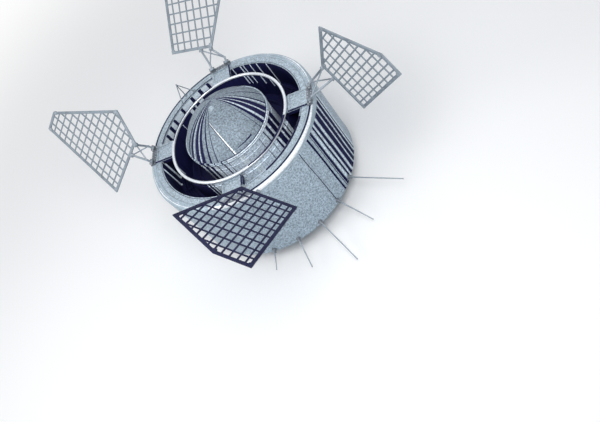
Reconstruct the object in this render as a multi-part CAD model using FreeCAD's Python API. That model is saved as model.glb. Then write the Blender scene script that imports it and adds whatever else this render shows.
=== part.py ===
import FreeCAD, Part
import math
import os
from collections import namedtuple

# A drum-shaped research satellite with four see-through solar paddles.
# Millimetres. +Z is the drum's axis, dome up. The origin is the bottom centre of the
# adapter ring that it stands on.

# ---- drum ----
DRUM_RADIUS = 2075.0
DRUM_LENGTH = 2030.0
SKIN = 16.0
RIM_ROUNDING = 80.0            # radius of the rounded front edge
RIM_WIDTH = 150.0              # radial width of the rim's flat and round together
RIM_DEPTH = 130.0              # how far the rim reaches down the drum's side
REAR_COVER_THICKNESS = 20.0
LINER_PANELS = 8               # butted panels in the slots' outer wall and the front cover
REAR_RIB_COUNT = 12
REAR_RIB_HEIGHT = 70.0
REAR_RIB_THICKNESS = 20.0
REAR_RIB_SETBACK = 55.0        # from the drum's edge to each rib's outer end

# ---- adapter ring that the satellite stands on ----
ADAPTER_HEIGHT = 420.0
ADAPTER_RADIUS = 1180.0
ADAPTER_WALL = 22.0
FLANGE_OUTWARD = 110.0         # how far both flanges reach out beyond the ring
FLANGE_INWARD = 90.0           # and in
FLANGE_THICKNESS = 30.0
BOLT_SETOUT = 60.0             # from the ring's outside to the bolt circle
BOLT_HOLE_RADIUS = 9.0
BOLT_COUNT = 24

# ---- front cover, slots and shroud ----
COVER_THICKNESS = 16.0
COVER_WIDTH = 159.0            # radial, from the rim to the slots
SLOT_WIDTH = 333.0             # radial, from the cover to the shroud
BRIDGE_WIDTH = 480.0           # the four webs that cross the slots
BRIDGE_PLATE = 10.0            # the raised plate on each web
BRIDGE_PLATE_GAP = 4.0         # from the plate to the shroud's lip and to the hinge bracket
LINER_WALL = 12.0
RECESS_DEPTH = 720.0           # from the cover's face to the deck
DECK_THICKNESS = 20.0
SHROUD_WALL = 16.0
LIP_RADIUS = 34.0              # the rolled lip on the shroud's mouth

# ---- instrument container in the middle ----
CONTAINER_RADIUS = 1010.0
CONTAINER_WALL = 18.0
CONTAINER_RISE = 30.0          # from the cover's face to the collar
COLLAR_HEIGHT = 80.0
COLLAR_OVERHANG = 26.0
DOME_HEIGHT = 570.0            # above the collar
DOME_WALL = 18.0
BLOCK_SIDE = 1150.0            # the dense instrument block inside
BLOCK_HEIGHT = 1500.0

# ---- solar paddles ----
FRAME_BAR = 66.0
FRAME_THICKNESS = 30.0
GRID_BAR = 34.0
GRID_THICKNESS = 20.0

# ---- arms and hinges ----
HINGE_INSET = 75.0             # the hinge line is this far inside the drum's radius
HINGE_RISE = 62.0              # and this far above the cover's face
ROOT_HALF = 200.0              # from the arm's middle to each hinge barrel's middle
ARM_GRIP = 300.0               # between the arm's two clips on the paddle
CLIP_LENGTH = 84.0             # the clips on the paddle's inner edge
CLIP_DEPTH = 64.0
CLIP_HEIGHT = 60.0
ARM_TUBE = 24.0                # radius of the arm's two side tubes
ARM_BRACE = 15.0               # radius of the crossed braces
ARM_NECK = 115.0               # from the hinge line to the knuckle where the tubes start
ARM_KNUCKLE = 29.0             # radius of the ball where neck, tube and brace meet
BARREL_RADIUS = 34.0
BARREL_LENGTH = 80.0
BARREL_GAP = 0.5               # side clearance to each lug
PIN_RADIUS = 13.0
PIN_CLEARANCE = 0.1
PIN_OVERHANG = 8.0
LUG_THICKNESS = 18.0
LUG_RADIUS = 36.0
BRACKET_PLATE = 14.0
BRACKET_WIDTH = 120.0

# ---- whip aerials round the rear edge ----
WHIP_RADIUS = 15.0
WHIP_SPACING = 16.8            # degrees between neighbours in a fan
WHIP_FANS = (-59.4, 120.6)     # middle of each fan, degrees round the axis
WHIP_RISE = 60.0               # above the drum's rear face
SOCKET_RADIUS = 38.0
SOCKET_LENGTH = 90.0

# ---- tripod aerial on the front cover ----
TRIPOD_ANGLE = 125.5           # degrees round the axis
TRIPOD_HEIGHT = 440.0
TRIPOD_TUBE = 13.0
TRIPOD_KNOB_RADIUS = 20.0
TRIPOD_FOOT_RADIUS = 30.0
TRIPOD_FOOT_THICKNESS = 12.0
TRIPOD_FOOT_SETBACK = 50.0     # from the cover's inner edge to the two inner feet
TRIPOD_HALF_SPREAD = 205.0
TRIPOD_REACH = 130.0           # from the inner feet out to the outer one

# The whips of one fan: each one's place in spacings from the fan's middle, its length
# beyond its socket and its lean back from square to the axis.
Whip = namedtuple("Whip", "step length lean_deg")
WHIPS = (
    Whip(-2, 400.0, 10.0),
    Whip(-1, 650.0, 16.0),
    Whip(0, 1150.0, 14.0),
    Whip(1, 830.0, 20.0),
    Whip(2, 1240.0, 0.0),
)

# Each paddle: its name, its place round the axis, its hand, where its arm corner lies from
# the middle of the hinge line (outward, along, up) and how it is set: turned from the
# hinge line towards outward, dipped at the square corner and lifted at the outer edge.
Paddle = namedtuple("Paddle", "name round_deg hand corner_out corner_along corner_up "
                              "turn_deg dip_deg lift_deg")
PADDLES = (
    Paddle("1", 357.0, -1, 525.0, -83.0, 486.0, 35.4, 45.7, 73.0),
    Paddle("2", 94.5, 1, 397.0, -9.0, 252.0, 26.6, 1.0, 40.0),
    Paddle("3", 177.0, 1, 165.0, -147.0, 396.0, 70.0, 34.0, 32.0),
    Paddle("4", 271.5, 1, 344.0, 556.0, 581.0, 33.0, 25.0, 35.0),
)

# Each paddle's outline: its inner edge from the arm's corner to the square corner, its
# square side, its short outer edge, how far the pointed corner lies back beyond the arm's
# corner and up the paddle, and its cells along the inner edge and across.
Outline = namedtuple("Outline", "length width tip point_back point_up cells_along cells_across")
OUTLINES = {
    "1": Outline(1200.0, 1800.0, 500.0, 486.0, 960.0, 8, 7),
    "2": Outline(1250.0, 2100.0, 600.0, 450.0, 1100.0, 6, 9),
    "3": Outline(1500.0, 2550.0, 520.0, 345.0, 775.0, 7, 13),
    "4": Outline(1150.0, 2000.0, 700.0, 600.0, 1470.0, 8, 9),
}

# ---- levels and places worked out from the sizes ----
Z_REAR = ADAPTER_HEIGHT
Z_FRONT = Z_REAR + DRUM_LENGTH
Z_FLOOR = Z_REAR + REAR_COVER_THICKNESS
Z_DECK = Z_FRONT - RECESS_DEPTH
Z_COLLAR = Z_FRONT + CONTAINER_RISE
Z_DOME = Z_COLLAR + COLLAR_HEIGHT
RIM_INNER = DRUM_RADIUS - RIM_WIDTH
OPENING_RADIUS = RIM_INNER - COVER_WIDTH
SHROUD_RADIUS = OPENING_RADIUS - SLOT_WIDTH
FLANGE_OUTER_RADIUS = ADAPTER_RADIUS + FLANGE_OUTWARD
FLANGE_INNER_RADIUS = ADAPTER_RADIUS - FLANGE_INWARD
BOLT_CIRCLE_RADIUS = ADAPTER_RADIUS + BOLT_SETOUT
HINGE_RADIUS = DRUM_RADIUS - HINGE_INSET
Z_HINGE = Z_FRONT + HINGE_RISE
BRACKET_INNER = HINGE_RADIUS + LUG_RADIUS - BRACKET_WIDTH

UP = FreeCAD.Vector(0, 0, 1)
ORIGIN = FreeCAD.Vector(0, 0, 0)


def save(name, shape):
    """Write one node."""
    shape.exportStep("parts/" + name + ".step")


def polar(radius, degrees, z):
    """A point by its distance from the axis, its angle round it and its height."""
    angle = math.radians(degrees)
    return FreeCAD.Vector(radius * math.cos(angle), radius * math.sin(angle), z)


def outward(degrees):
    """The direction straight out from the axis."""
    return polar(1.0, degrees, 0.0)


def sideways(degrees):
    """The direction round the axis, counter-clockwise from above."""
    return outward(degrees + 90.0)


def tube(outer, inner, low, high):
    """An upright tube or ring on the axis."""
    body = Part.makeCylinder(outer, high - low, FreeCAD.Vector(0, 0, low))
    hole = Part.makeCylinder(inner, high - low, FreeCAD.Vector(0, 0, low))
    return body.cut(hole)


def disc(radius, low, high):
    """An upright disc on the axis."""
    return Part.makeCylinder(radius, high - low, FreeCAD.Vector(0, 0, low))


def rod(start, end, radius):
    """A round bar between two points."""
    along = end - start
    return Part.makeCylinder(radius, along.Length, start, along)


def fuse(shapes):
    """Join shapes into one clean solid."""
    return shapes[0].multiFuse(shapes[1:]).removeSplitter()


def corner_arc(centre_r, centre_z, radius):
    """A quarter circle in the XZ plane, from straight out round to straight up."""
    half = radius * math.sqrt(0.5)
    start = FreeCAD.Vector(centre_r + radius, 0, centre_z)
    middle = FreeCAD.Vector(centre_r + half, 0, centre_z + half)
    end = FreeCAD.Vector(centre_r, 0, centre_z + radius)
    return Part.Arc(start, middle, end).toShape()


def line(r_one, z_one, r_two, z_two):
    """A straight edge in the XZ plane."""
    start = FreeCAD.Vector(r_one, 0, z_one)
    end = FreeCAD.Vector(r_two, 0, z_two)
    return Part.makeLine(start, end)


def turned(edges):
    """A solid of revolution about the axis from a closed profile in the XZ plane."""
    face = Part.Face(Part.Wire(edges))
    return face.revolve(ORIGIN, UP, 360)


def panels(ring, joints):
    """A ring cut into panels that butt at the given angles."""
    cut = []
    for number, start in enumerate(joints):
        span = (joints[(number + 1) % len(joints)] - start) % 360
        wedge = Part.makeCylinder(2 * DRUM_RADIUS, 2 * Z_FRONT, ORIGIN, UP, span)
        wedge.rotate(ORIGIN, UP, start)
        cut.append(ring.common(wedge))
    return Part.makeCompound(cut)


# ---- drum ----

def drum_joints():
    """The angles where the drum's panels meet: between the whips, and between the fans."""
    joints = []
    for middle in WHIP_FANS:
        for step in (-3, -1, 1, 3):
            joints.append(middle + step * WHIP_SPACING)
    joints.append(sum(WHIP_FANS) / 2)
    joints.append(sum(WHIP_FANS) / 2 + 180)
    return sorted(joint % 360 for joint in joints)


def liner_joints():
    return [number * 360.0 / LINER_PANELS for number in range(LINER_PANELS)]


def drum_skin():
    wall = tube(DRUM_RADIUS, DRUM_RADIUS - SKIN, Z_REAR, Z_FRONT - RIM_DEPTH)
    return panels(wall, drum_joints())


def rim_ring():
    """The rounded front edge, one bent sheet."""
    bend_r = DRUM_RADIUS - RIM_ROUNDING
    bend_z = Z_FRONT - RIM_ROUNDING
    low = Z_FRONT - RIM_DEPTH
    inside = DRUM_RADIUS - SKIN
    under = Z_FRONT - SKIN
    edges = [
        line(inside, low, DRUM_RADIUS, low),
        line(DRUM_RADIUS, low, DRUM_RADIUS, bend_z),
        corner_arc(bend_r, bend_z, RIM_ROUNDING),
        line(bend_r, Z_FRONT, RIM_INNER, Z_FRONT),
        line(RIM_INNER, Z_FRONT, RIM_INNER, under),
        line(RIM_INNER, under, bend_r, under),
        corner_arc(bend_r, bend_z, RIM_ROUNDING - SKIN),
        line(inside, bend_z, inside, low),
    ]
    return panels(turned(edges), drum_joints())


def rear_cover():
    return disc(DRUM_RADIUS - SKIN, Z_REAR, Z_FLOOR)


def rear_ribs():
    """Radial ribs under the rear cover, from the adapter ring outward."""
    inner = FLANGE_OUTER_RADIUS
    length = DRUM_RADIUS - REAR_RIB_SETBACK - inner
    ribs = []
    for number in range(REAR_RIB_COUNT):
        rib = Part.makeBox(length, REAR_RIB_THICKNESS, REAR_RIB_HEIGHT,
                           FreeCAD.Vector(inner, -REAR_RIB_THICKNESS / 2,
                                          Z_REAR - REAR_RIB_HEIGHT))
        rib.rotate(ORIGIN, UP, (number + 0.5) * 360.0 / REAR_RIB_COUNT)
        ribs.append(rib.cut(disc(FLANGE_OUTER_RADIUS, 0, Z_REAR)))
    return Part.makeCompound(ribs)


# ---- adapter ring ----

def adapter_ring():
    wall = tube(ADAPTER_RADIUS, ADAPTER_RADIUS - ADAPTER_WALL, 0, ADAPTER_HEIGHT)
    foot = tube(FLANGE_OUTER_RADIUS, FLANGE_INNER_RADIUS, 0, FLANGE_THICKNESS)
    top = tube(FLANGE_OUTER_RADIUS, FLANGE_INNER_RADIUS,
               ADAPTER_HEIGHT - FLANGE_THICKNESS, ADAPTER_HEIGHT)
    ring = fuse([wall, foot, top])
    holes = []
    for number in range(BOLT_COUNT):
        place = polar(BOLT_CIRCLE_RADIUS, number * 360.0 / BOLT_COUNT, 0)
        holes.append(Part.makeCylinder(BOLT_HOLE_RADIUS, FLANGE_THICKNESS, place))
    return ring.cut(Part.makeCompound(holes))


# ---- front cover, slots and shroud ----

def front_cover():
    """The flat ring inside the rim."""
    ring = tube(RIM_INNER, OPENING_RADIUS, Z_FRONT - COVER_THICKNESS, Z_FRONT)
    return panels(ring, liner_joints())


def bridges():
    """The four webs that cross the slots from the cover to the shroud."""
    under = Z_FRONT - COVER_THICKNESS
    pieces = []
    for paddle in PADDLES:
        plate = Part.makeBox(OPENING_RADIUS, BRIDGE_WIDTH, COVER_THICKNESS,
                             FreeCAD.Vector(0, -BRIDGE_WIDTH / 2, under))
        plate.rotate(ORIGIN, UP, paddle.round_deg)
        pieces.append(plate.common(tube(OPENING_RADIUS, SHROUD_RADIUS, under, Z_FRONT)))
    return Part.makeCompound(pieces)


def bridge_plates():
    """A raised plate on each bridge, from the shroud's lip to the hinge bracket."""
    inner = SHROUD_RADIUS + LIP_RADIUS + BRIDGE_PLATE_GAP
    outer = BRACKET_INNER - BRIDGE_PLATE_GAP
    band = tube(2 * DRUM_RADIUS, inner, Z_FRONT, Z_FRONT + BRIDGE_PLATE)
    plates = []
    for paddle in PADDLES:
        plate = Part.makeBox(outer, BRIDGE_WIDTH, BRIDGE_PLATE,
                             FreeCAD.Vector(0, -BRIDGE_WIDTH / 2, Z_FRONT))
        plate.rotate(ORIGIN, UP, paddle.round_deg)
        plates.append(plate.common(band))
    return Part.makeCompound(plates)


def slot_liner():
    wall = tube(OPENING_RADIUS + LINER_WALL, OPENING_RADIUS,
                Z_DECK, Z_FRONT - COVER_THICKNESS)
    return panels(wall, liner_joints())


def deck():
    return tube(DRUM_RADIUS - SKIN, CONTAINER_RADIUS, Z_DECK - DECK_THICKNESS, Z_DECK)


def shroud_tube():
    return tube(SHROUD_RADIUS, SHROUD_RADIUS - SHROUD_WALL, Z_DECK, Z_FRONT + LIP_RADIUS)


def shroud_lip():
    ring = Part.makeTorus(SHROUD_RADIUS - SHROUD_WALL / 2, LIP_RADIUS,
                          FreeCAD.Vector(0, 0, Z_FRONT + LIP_RADIUS))
    return ring.cut(shroud_tube())


# ---- instrument container ----

def container_wall():
    return tube(CONTAINER_RADIUS, CONTAINER_RADIUS - CONTAINER_WALL, Z_FLOOR, Z_COLLAR)


def container_collar():
    return tube(CONTAINER_RADIUS + COLLAR_OVERHANG, CONTAINER_RADIUS - CONTAINER_WALL,
                Z_COLLAR, Z_DOME)


def dome_arc(radius, height):
    """The dome's section from its foot to its top: an arc, square to the axis at the top."""
    bend = (radius * radius + height * height) / (2 * height)
    centre_z = height - bend
    half_angle = math.atan2(radius, -centre_z) / 2
    middle = FreeCAD.Vector(bend * math.sin(half_angle), 0,
                            Z_DOME + centre_z + bend * math.cos(half_angle))
    foot = FreeCAD.Vector(radius, 0, Z_DOME)
    top = FreeCAD.Vector(0, 0, Z_DOME + height)
    return Part.Arc(foot, middle, top).toShape()


def container_dome():
    inner_radius = CONTAINER_RADIUS - DOME_WALL
    inner_height = DOME_HEIGHT - DOME_WALL
    edges = [
        line(inner_radius, Z_DOME, CONTAINER_RADIUS, Z_DOME),
        dome_arc(CONTAINER_RADIUS, DOME_HEIGHT),
        line(0, Z_DOME + DOME_HEIGHT, 0, Z_DOME + inner_height),
        dome_arc(inner_radius, inner_height),
    ]
    return turned(edges)


def instrument_block():
    return Part.makeBox(BLOCK_SIDE, BLOCK_SIDE, BLOCK_HEIGHT,
                        FreeCAD.Vector(-BLOCK_SIDE / 2, -BLOCK_SIDE / 2, Z_FLOOR))


# ---- solar paddles, in the paddle's own plane: x along the inner edge, y outward ----

def paddle_corners(name, inset):
    """The five corners, moved in square to each side by inset."""
    size = OUTLINES[name]
    corners = [
        (0.0, 0.0),
        (size.length, 0.0),
        (size.length, size.width),
        (size.length - size.tip, size.width),
        (-size.point_back, size.point_up),
    ]
    moved = []
    for number, corner in enumerate(corners):
        before = corners[number - 1]
        after = corners[(number + 1) % len(corners)]
        into = unit(corner[0] - before[0], corner[1] - before[1])
        away = unit(after[0] - corner[0], after[1] - corner[1])
        turn = into[0] * away[1] - into[1] * away[0]
        slide = inset / turn
        moved.append((corner[0] + slide * (away[0] - into[0]),
                      corner[1] + slide * (away[1] - into[1])))
    return moved


def unit(x, y):
    """A direction of length one."""
    length = math.hypot(x, y)
    return (x / length, y / length)


def paddle_plate(name, inset, thickness):
    """The paddle's outline, moved in by inset, as a plate about its middle plane."""
    points = [FreeCAD.Vector(x, y, -thickness / 2) for x, y in paddle_corners(name, inset)]
    face = Part.Face(Part.makePolygon(points + points[:1]))
    return face.extrude(FreeCAD.Vector(0, 0, thickness))


def paddle_frame(name):
    opening = paddle_plate(name, FRAME_BAR, FRAME_THICKNESS)
    return paddle_plate(name, 0, FRAME_THICKNESS).cut(opening)


def paddle_grid(name):
    """Crossed bars that fill the frame."""
    size = OUTLINES[name]
    step_x = size.length / size.cells_along
    step_y = size.width / size.cells_across
    bars = []
    for number in range(-math.ceil(size.point_back / step_x), size.cells_along):
        bars.append(Part.makeBox(GRID_BAR, size.width, GRID_THICKNESS,
                                 FreeCAD.Vector(number * step_x - GRID_BAR / 2, 0,
                                                -GRID_THICKNESS / 2)))
    for number in range(1, size.cells_across):
        bars.append(Part.makeBox(size.length + size.point_back, GRID_BAR, GRID_THICKNESS,
                                 FreeCAD.Vector(-size.point_back,
                                                number * step_y - GRID_BAR / 2,
                                                -GRID_THICKNESS / 2)))
    return fuse(bars).common(paddle_plate(name, FRAME_BAR, GRID_THICKNESS))


# ---- one paddle's frame of directions ----

def hinge_place(paddle):
    return polar(HINGE_RADIUS, paddle.round_deg, Z_HINGE)


def paddle_axes(paddle):
    """The paddle's own x and y directions in the satellite's frame."""
    turn = math.radians(paddle.turn_deg)
    dip = math.radians(paddle.dip_deg)
    lift = math.radians(paddle.lift_deg)
    side = sideways(paddle.round_deg) * paddle.hand
    front = outward(paddle.round_deg)
    level_x = front * math.sin(turn) + side * math.cos(turn)
    level_y = front * math.cos(turn) - side * math.sin(turn)
    x_axis = level_x * math.cos(dip) - UP * math.sin(dip)
    raised = level_x * math.sin(dip) + UP * math.cos(dip)
    y_axis = level_y * math.cos(lift) + raised * math.sin(lift)
    return x_axis, y_axis


def paddle_corner(paddle):
    """Where the paddle's arm corner lies."""
    side = sideways(paddle.round_deg) * paddle.hand
    return (hinge_place(paddle) + outward(paddle.round_deg) * paddle.corner_out
            + side * paddle.corner_along + UP * paddle.corner_up)


def placed(shape, paddle):
    """A shape from the paddle's own plane, put in its place."""
    x_axis, y_axis = paddle_axes(paddle)
    z_axis = x_axis.cross(y_axis)
    corner = paddle_corner(paddle)
    place = FreeCAD.Matrix(x_axis.x, y_axis.x, z_axis.x, corner.x,
                           x_axis.y, y_axis.y, z_axis.y, corner.y,
                           x_axis.z, y_axis.z, z_axis.z, corner.z,
                           0, 0, 0, 1)
    copy = shape.copy()
    copy.Placement = FreeCAD.Placement(place)
    return copy


# ---- arms and hinges ----

def barrel_places(paddle):
    """The middles of the two hinge barrels: the one for the corner, then the other."""
    side = sideways(paddle.round_deg) * paddle.hand
    middle = hinge_place(paddle)
    return middle - side * ROOT_HALF, middle + side * ROOT_HALF


def arm_clip():
    """The clip on the paddle's inner edge, in the paddle's plane, at its corner."""
    return Part.makeBox(CLIP_LENGTH, CLIP_DEPTH, CLIP_HEIGHT,
                        FreeCAD.Vector(0, -CLIP_DEPTH, -CLIP_HEIGHT / 2))


def neck_way(paddle):
    """The direction square to the hinge line in which the arm leaves its barrels."""
    rise = math.atan2(paddle.corner_up, paddle.corner_out)
    return outward(paddle.round_deg) * math.cos(rise) + UP * math.sin(rise)


def arm(paddle):
    """Two side tubes with crossed braces, from the hinge barrels to clips on the paddle."""
    x_axis, y_axis = paddle_axes(paddle)
    near_clip = placed(arm_clip(), paddle)
    far_clip = near_clip.copy()
    far_clip.translate(x_axis * ARM_GRIP)
    near_grip = paddle_corner(paddle) + x_axis * (CLIP_LENGTH / 2) - y_axis * (CLIP_DEPTH / 2)
    far_grip = near_grip + x_axis * ARM_GRIP
    near_root, far_root = barrel_places(paddle)
    neck = neck_way(paddle) * ARM_NECK
    near_knuckle = near_root + neck
    far_knuckle = far_root + neck
    side = sideways(paddle.round_deg)
    pieces = [
        near_clip,
        far_clip,
        rod(near_knuckle, near_grip, ARM_TUBE),
        rod(far_knuckle, far_grip, ARM_TUBE),
        rod(near_knuckle, far_grip, ARM_BRACE),
        rod(far_knuckle, near_grip, ARM_BRACE),
    ]
    bores = []
    for root in (near_root, far_root):
        start = root - side * (BARREL_LENGTH / 2)
        pieces.append(rod(root, root + neck, ARM_TUBE))
        pieces.append(Part.makeSphere(ARM_KNUCKLE, root + neck))
        pieces.append(Part.makeCylinder(BARREL_RADIUS, BARREL_LENGTH, start, side))
        bores.append(Part.makeCylinder(PIN_RADIUS + PIN_CLEARANCE, BARREL_LENGTH, start, side))
    return fuse(pieces).cut(Part.makeCompound(bores))


def hinge_bracket(paddle):
    """A plate on the rim with a forked pair of lugs at each barrel."""
    side = sideways(paddle.round_deg)
    front = outward(paddle.round_deg)
    length = 2 * ROOT_HALF + BARREL_LENGTH + 4 * LUG_THICKNESS + 4 * BARREL_GAP
    plate = Part.makeBox(BRACKET_WIDTH, length, BRACKET_PLATE,
                         FreeCAD.Vector(BRACKET_INNER, -length / 2, Z_FRONT))
    plate.rotate(ORIGIN, UP, paddle.round_deg)
    pieces = [plate]
    pins = []
    for root in barrel_places(paddle):
        for way in (-1, 1):
            offset = BARREL_LENGTH / 2 + BARREL_GAP + LUG_THICKNESS / 2
            middle = root + side * (way * offset)
            start = middle - side * (LUG_THICKNESS / 2)
            pieces.append(Part.makeCylinder(LUG_RADIUS, LUG_THICKNESS, start, side))
            corner = start - front * LUG_RADIUS - UP * HINGE_RISE
            web = Part.makeBox(2 * LUG_RADIUS, LUG_THICKNESS, HINGE_RISE)
            web.rotate(ORIGIN, UP, paddle.round_deg)
            web.translate(corner)
            pieces.append(web)
        pins.append(pin(root, side))
    return fuse(pieces).cut(Part.makeCompound(pins))


def pin(root, side):
    """One hinge pin, through both lugs of a fork."""
    reach = BARREL_LENGTH / 2 + BARREL_GAP + LUG_THICKNESS + PIN_OVERHANG
    return Part.makeCylinder(PIN_RADIUS, 2 * reach, root - side * reach, side)


def hinge_pins(paddle):
    side = sideways(paddle.round_deg)
    return Part.makeCompound([pin(root, side) for root in barrel_places(paddle)])


# ---- aerials ----

def whip_lines():
    """Each whip's start on the drum's side, its direction and its length."""
    lines = []
    for middle in WHIP_FANS:
        for whip in WHIPS:
            degrees = middle + whip.step * WHIP_SPACING
            lean = math.radians(whip.lean_deg)
            start = polar(DRUM_RADIUS, degrees, Z_REAR + WHIP_RISE)
            way = outward(degrees) * math.cos(lean) - UP * math.sin(lean)
            lines.append((start, way, whip.length))
    return lines


def whip_sockets():
    drum = disc(DRUM_RADIUS, Z_REAR, Z_FRONT)
    sockets = []
    for start, way, length in whip_lines():
        bar = Part.makeCylinder(SOCKET_RADIUS, 2 * SOCKET_LENGTH, start - way * SOCKET_LENGTH, way)
        sockets.append(bar.cut(drum))
    return Part.makeCompound(sockets)


def whip_aerials():
    whips = []
    for start, way, length in whip_lines():
        whips.append(Part.makeCylinder(WHIP_RADIUS, length, start + way * SOCKET_LENGTH, way))
    return Part.makeCompound(whips)


def tripod_aerial():
    """Three thin tubes from feet on the cover to one apex."""
    front = outward(TRIPOD_ANGLE)
    side = sideways(TRIPOD_ANGLE)
    inner = OPENING_RADIUS + TRIPOD_FOOT_SETBACK
    middle = front * inner + UP * Z_FRONT
    apex = middle + front * (TRIPOD_REACH / 2) + UP * TRIPOD_HEIGHT
    feet = [
        middle - side * TRIPOD_HALF_SPREAD,
        middle + side * TRIPOD_HALF_SPREAD,
        middle + front * TRIPOD_REACH,
    ]
    pieces = [Part.makeSphere(TRIPOD_KNOB_RADIUS, apex)]
    for foot in feet:
        base = foot + UP * TRIPOD_FOOT_THICKNESS
        pieces.append(Part.makeCylinder(TRIPOD_FOOT_RADIUS, TRIPOD_FOOT_THICKNESS, foot))
        pieces.append(rod(base, apex, TRIPOD_TUBE))
    above = Part.makeBox(2 * TRIPOD_HEIGHT, 2 * TRIPOD_HEIGHT, 2 * TRIPOD_HEIGHT,
                         middle - FreeCAD.Vector(TRIPOD_HEIGHT, TRIPOD_HEIGHT, 0))
    return fuse(pieces).common(above)


def main():
    os.makedirs("parts", exist_ok=True)
    save("drum_skin", drum_skin())
    save("rim_ring", rim_ring())
    save("rear_cover", rear_cover())
    save("adapter_ring", adapter_ring())
    save("rear_ribs", rear_ribs())
    save("front_cover", front_cover())
    save("bridges", bridges())
    save("bridge_plates", bridge_plates())
    save("slot_liner", slot_liner())
    save("deck", deck())
    save("shroud_tube", shroud_tube())
    save("shroud_lip", shroud_lip())
    save("container_wall", container_wall())
    save("container_collar", container_collar())
    save("container_dome", container_dome())
    save("instrument_block", instrument_block())
    save("whip_sockets", whip_sockets())
    save("whip_aerials", whip_aerials())
    save("tripod_aerial", tripod_aerial())
    for paddle in PADDLES:
        name = paddle.name
        save("paddle_frame_" + name, placed(paddle_frame(name), paddle))
        save("paddle_grid_" + name, placed(paddle_grid(name), paddle))
        save("arm_" + name, arm(paddle))
        save("hinge_bracket_" + name, hinge_bracket(paddle))
        save("hinge_pins_" + name, hinge_pins(paddle))


main()
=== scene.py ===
import bpy
import bmesh
import math
from collections import namedtuple
from mathutils import Matrix, Vector


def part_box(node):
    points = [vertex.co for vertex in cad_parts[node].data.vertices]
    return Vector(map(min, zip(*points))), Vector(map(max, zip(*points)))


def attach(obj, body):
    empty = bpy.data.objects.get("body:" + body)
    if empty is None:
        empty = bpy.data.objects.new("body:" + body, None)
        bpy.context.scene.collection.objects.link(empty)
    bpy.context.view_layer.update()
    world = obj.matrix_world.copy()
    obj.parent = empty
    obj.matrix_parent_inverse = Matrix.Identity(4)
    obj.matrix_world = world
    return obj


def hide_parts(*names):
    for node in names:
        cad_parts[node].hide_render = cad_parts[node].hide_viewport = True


# A drum-shaped research satellite, dome up. Metres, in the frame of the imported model:
# +Z is the drum's axis and the origin is the bottom centre of the adapter ring.

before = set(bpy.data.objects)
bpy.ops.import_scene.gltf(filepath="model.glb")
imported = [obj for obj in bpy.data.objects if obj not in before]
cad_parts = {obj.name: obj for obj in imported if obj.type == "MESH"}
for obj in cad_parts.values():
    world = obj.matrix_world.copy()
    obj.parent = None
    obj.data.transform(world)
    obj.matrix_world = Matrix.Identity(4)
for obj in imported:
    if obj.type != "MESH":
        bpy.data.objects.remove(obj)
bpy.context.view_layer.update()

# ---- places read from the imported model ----
REAR_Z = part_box("rear_cover")[0].z
FRONT_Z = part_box("front_cover")[1].z
DECK_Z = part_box("deck")[1].z
DRUM_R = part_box("drum_skin")[1].x
SKIN_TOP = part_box("drum_skin")[1].z
COVER_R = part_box("front_cover")[1].x
OPENING_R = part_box("bridges")[1].x
LINER_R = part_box("slot_liner")[1].x
SHROUD_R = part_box("shroud_tube")[1].x
LIP_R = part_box("shroud_lip")[1].x
CONTAINER_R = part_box("container_wall")[1].x
CONTAINER_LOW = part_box("container_wall")[0].z
COLLAR_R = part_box("container_collar")[1].x
COLLAR_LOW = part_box("container_collar")[0].z
COLLAR_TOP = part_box("container_collar")[1].z
DOME_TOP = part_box("container_dome")[1].z
ADAPTER_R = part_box("adapter_ring")[1].x - 0.110
RIB_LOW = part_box("rear_ribs")[0].z

# ---- sizes, in metres ----
SKIN = 0.016
DRUM_INSIDE = DRUM_R - SKIN
RIM_ROUNDING = 0.080
RIM_GROOVE_R = DRUM_R - RIM_ROUNDING - 0.008
COVER_THICKNESS = 0.016
SHROUD_WALL = 0.016
SHROUD_MIDDLE = SHROUD_R - SHROUD_WALL / 2
SHROUD_INSIDE = SHROUD_R - SHROUD_WALL
LIP_RADIUS = 0.034
CONTAINER_WALL = 0.018
DOME_SHEET = 0.011
BRIDGE_WIDTH = 0.480
BRACKET_INNER = 1.916
HINGE_RADIUS = 2.000
HINGE_Z = FRONT_Z + 0.062
ROOT_HALF = 0.200
LUG_REACH = 0.0585               # from a barrel's middle to the outer face of its lug
FRAME_BAR = 0.066
FRAME_THICKNESS = 0.030
GRID_BAR = 0.034
GRID_THICKNESS = 0.020
WHIP_SPACING = 16.8              # degrees
WHIP_FANS = (-59.4, 120.6)       # degrees
WHIP_Z = REAR_Z + 0.060
SOCKET_LENGTH = 0.090
TRIPOD_ANGLE = 125.5             # degrees
TRIPOD_INNER = OPENING_R + 0.050
TRIPOD_REACH = 0.130
TRIPOD_HALF_SPREAD = 0.205
TRIPOD_HEIGHT = 0.440
RING_SIDES = 240                 # of every large turned shape but the drum and the rim
SMALL_SCREW = (0.007, 0.004)     # radius and height of a head
PADDLE_STUD = (0.011, 0.006)

Whip = namedtuple("Whip", "step length lean")
WHIPS = (
    Whip(-2, 0.400, 10.0),
    Whip(-1, 0.650, 16.0),
    Whip(0, 1.150, 14.0),
    Whip(1, 0.830, 20.0),
    Whip(2, 1.240, 0.0),
)

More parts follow.
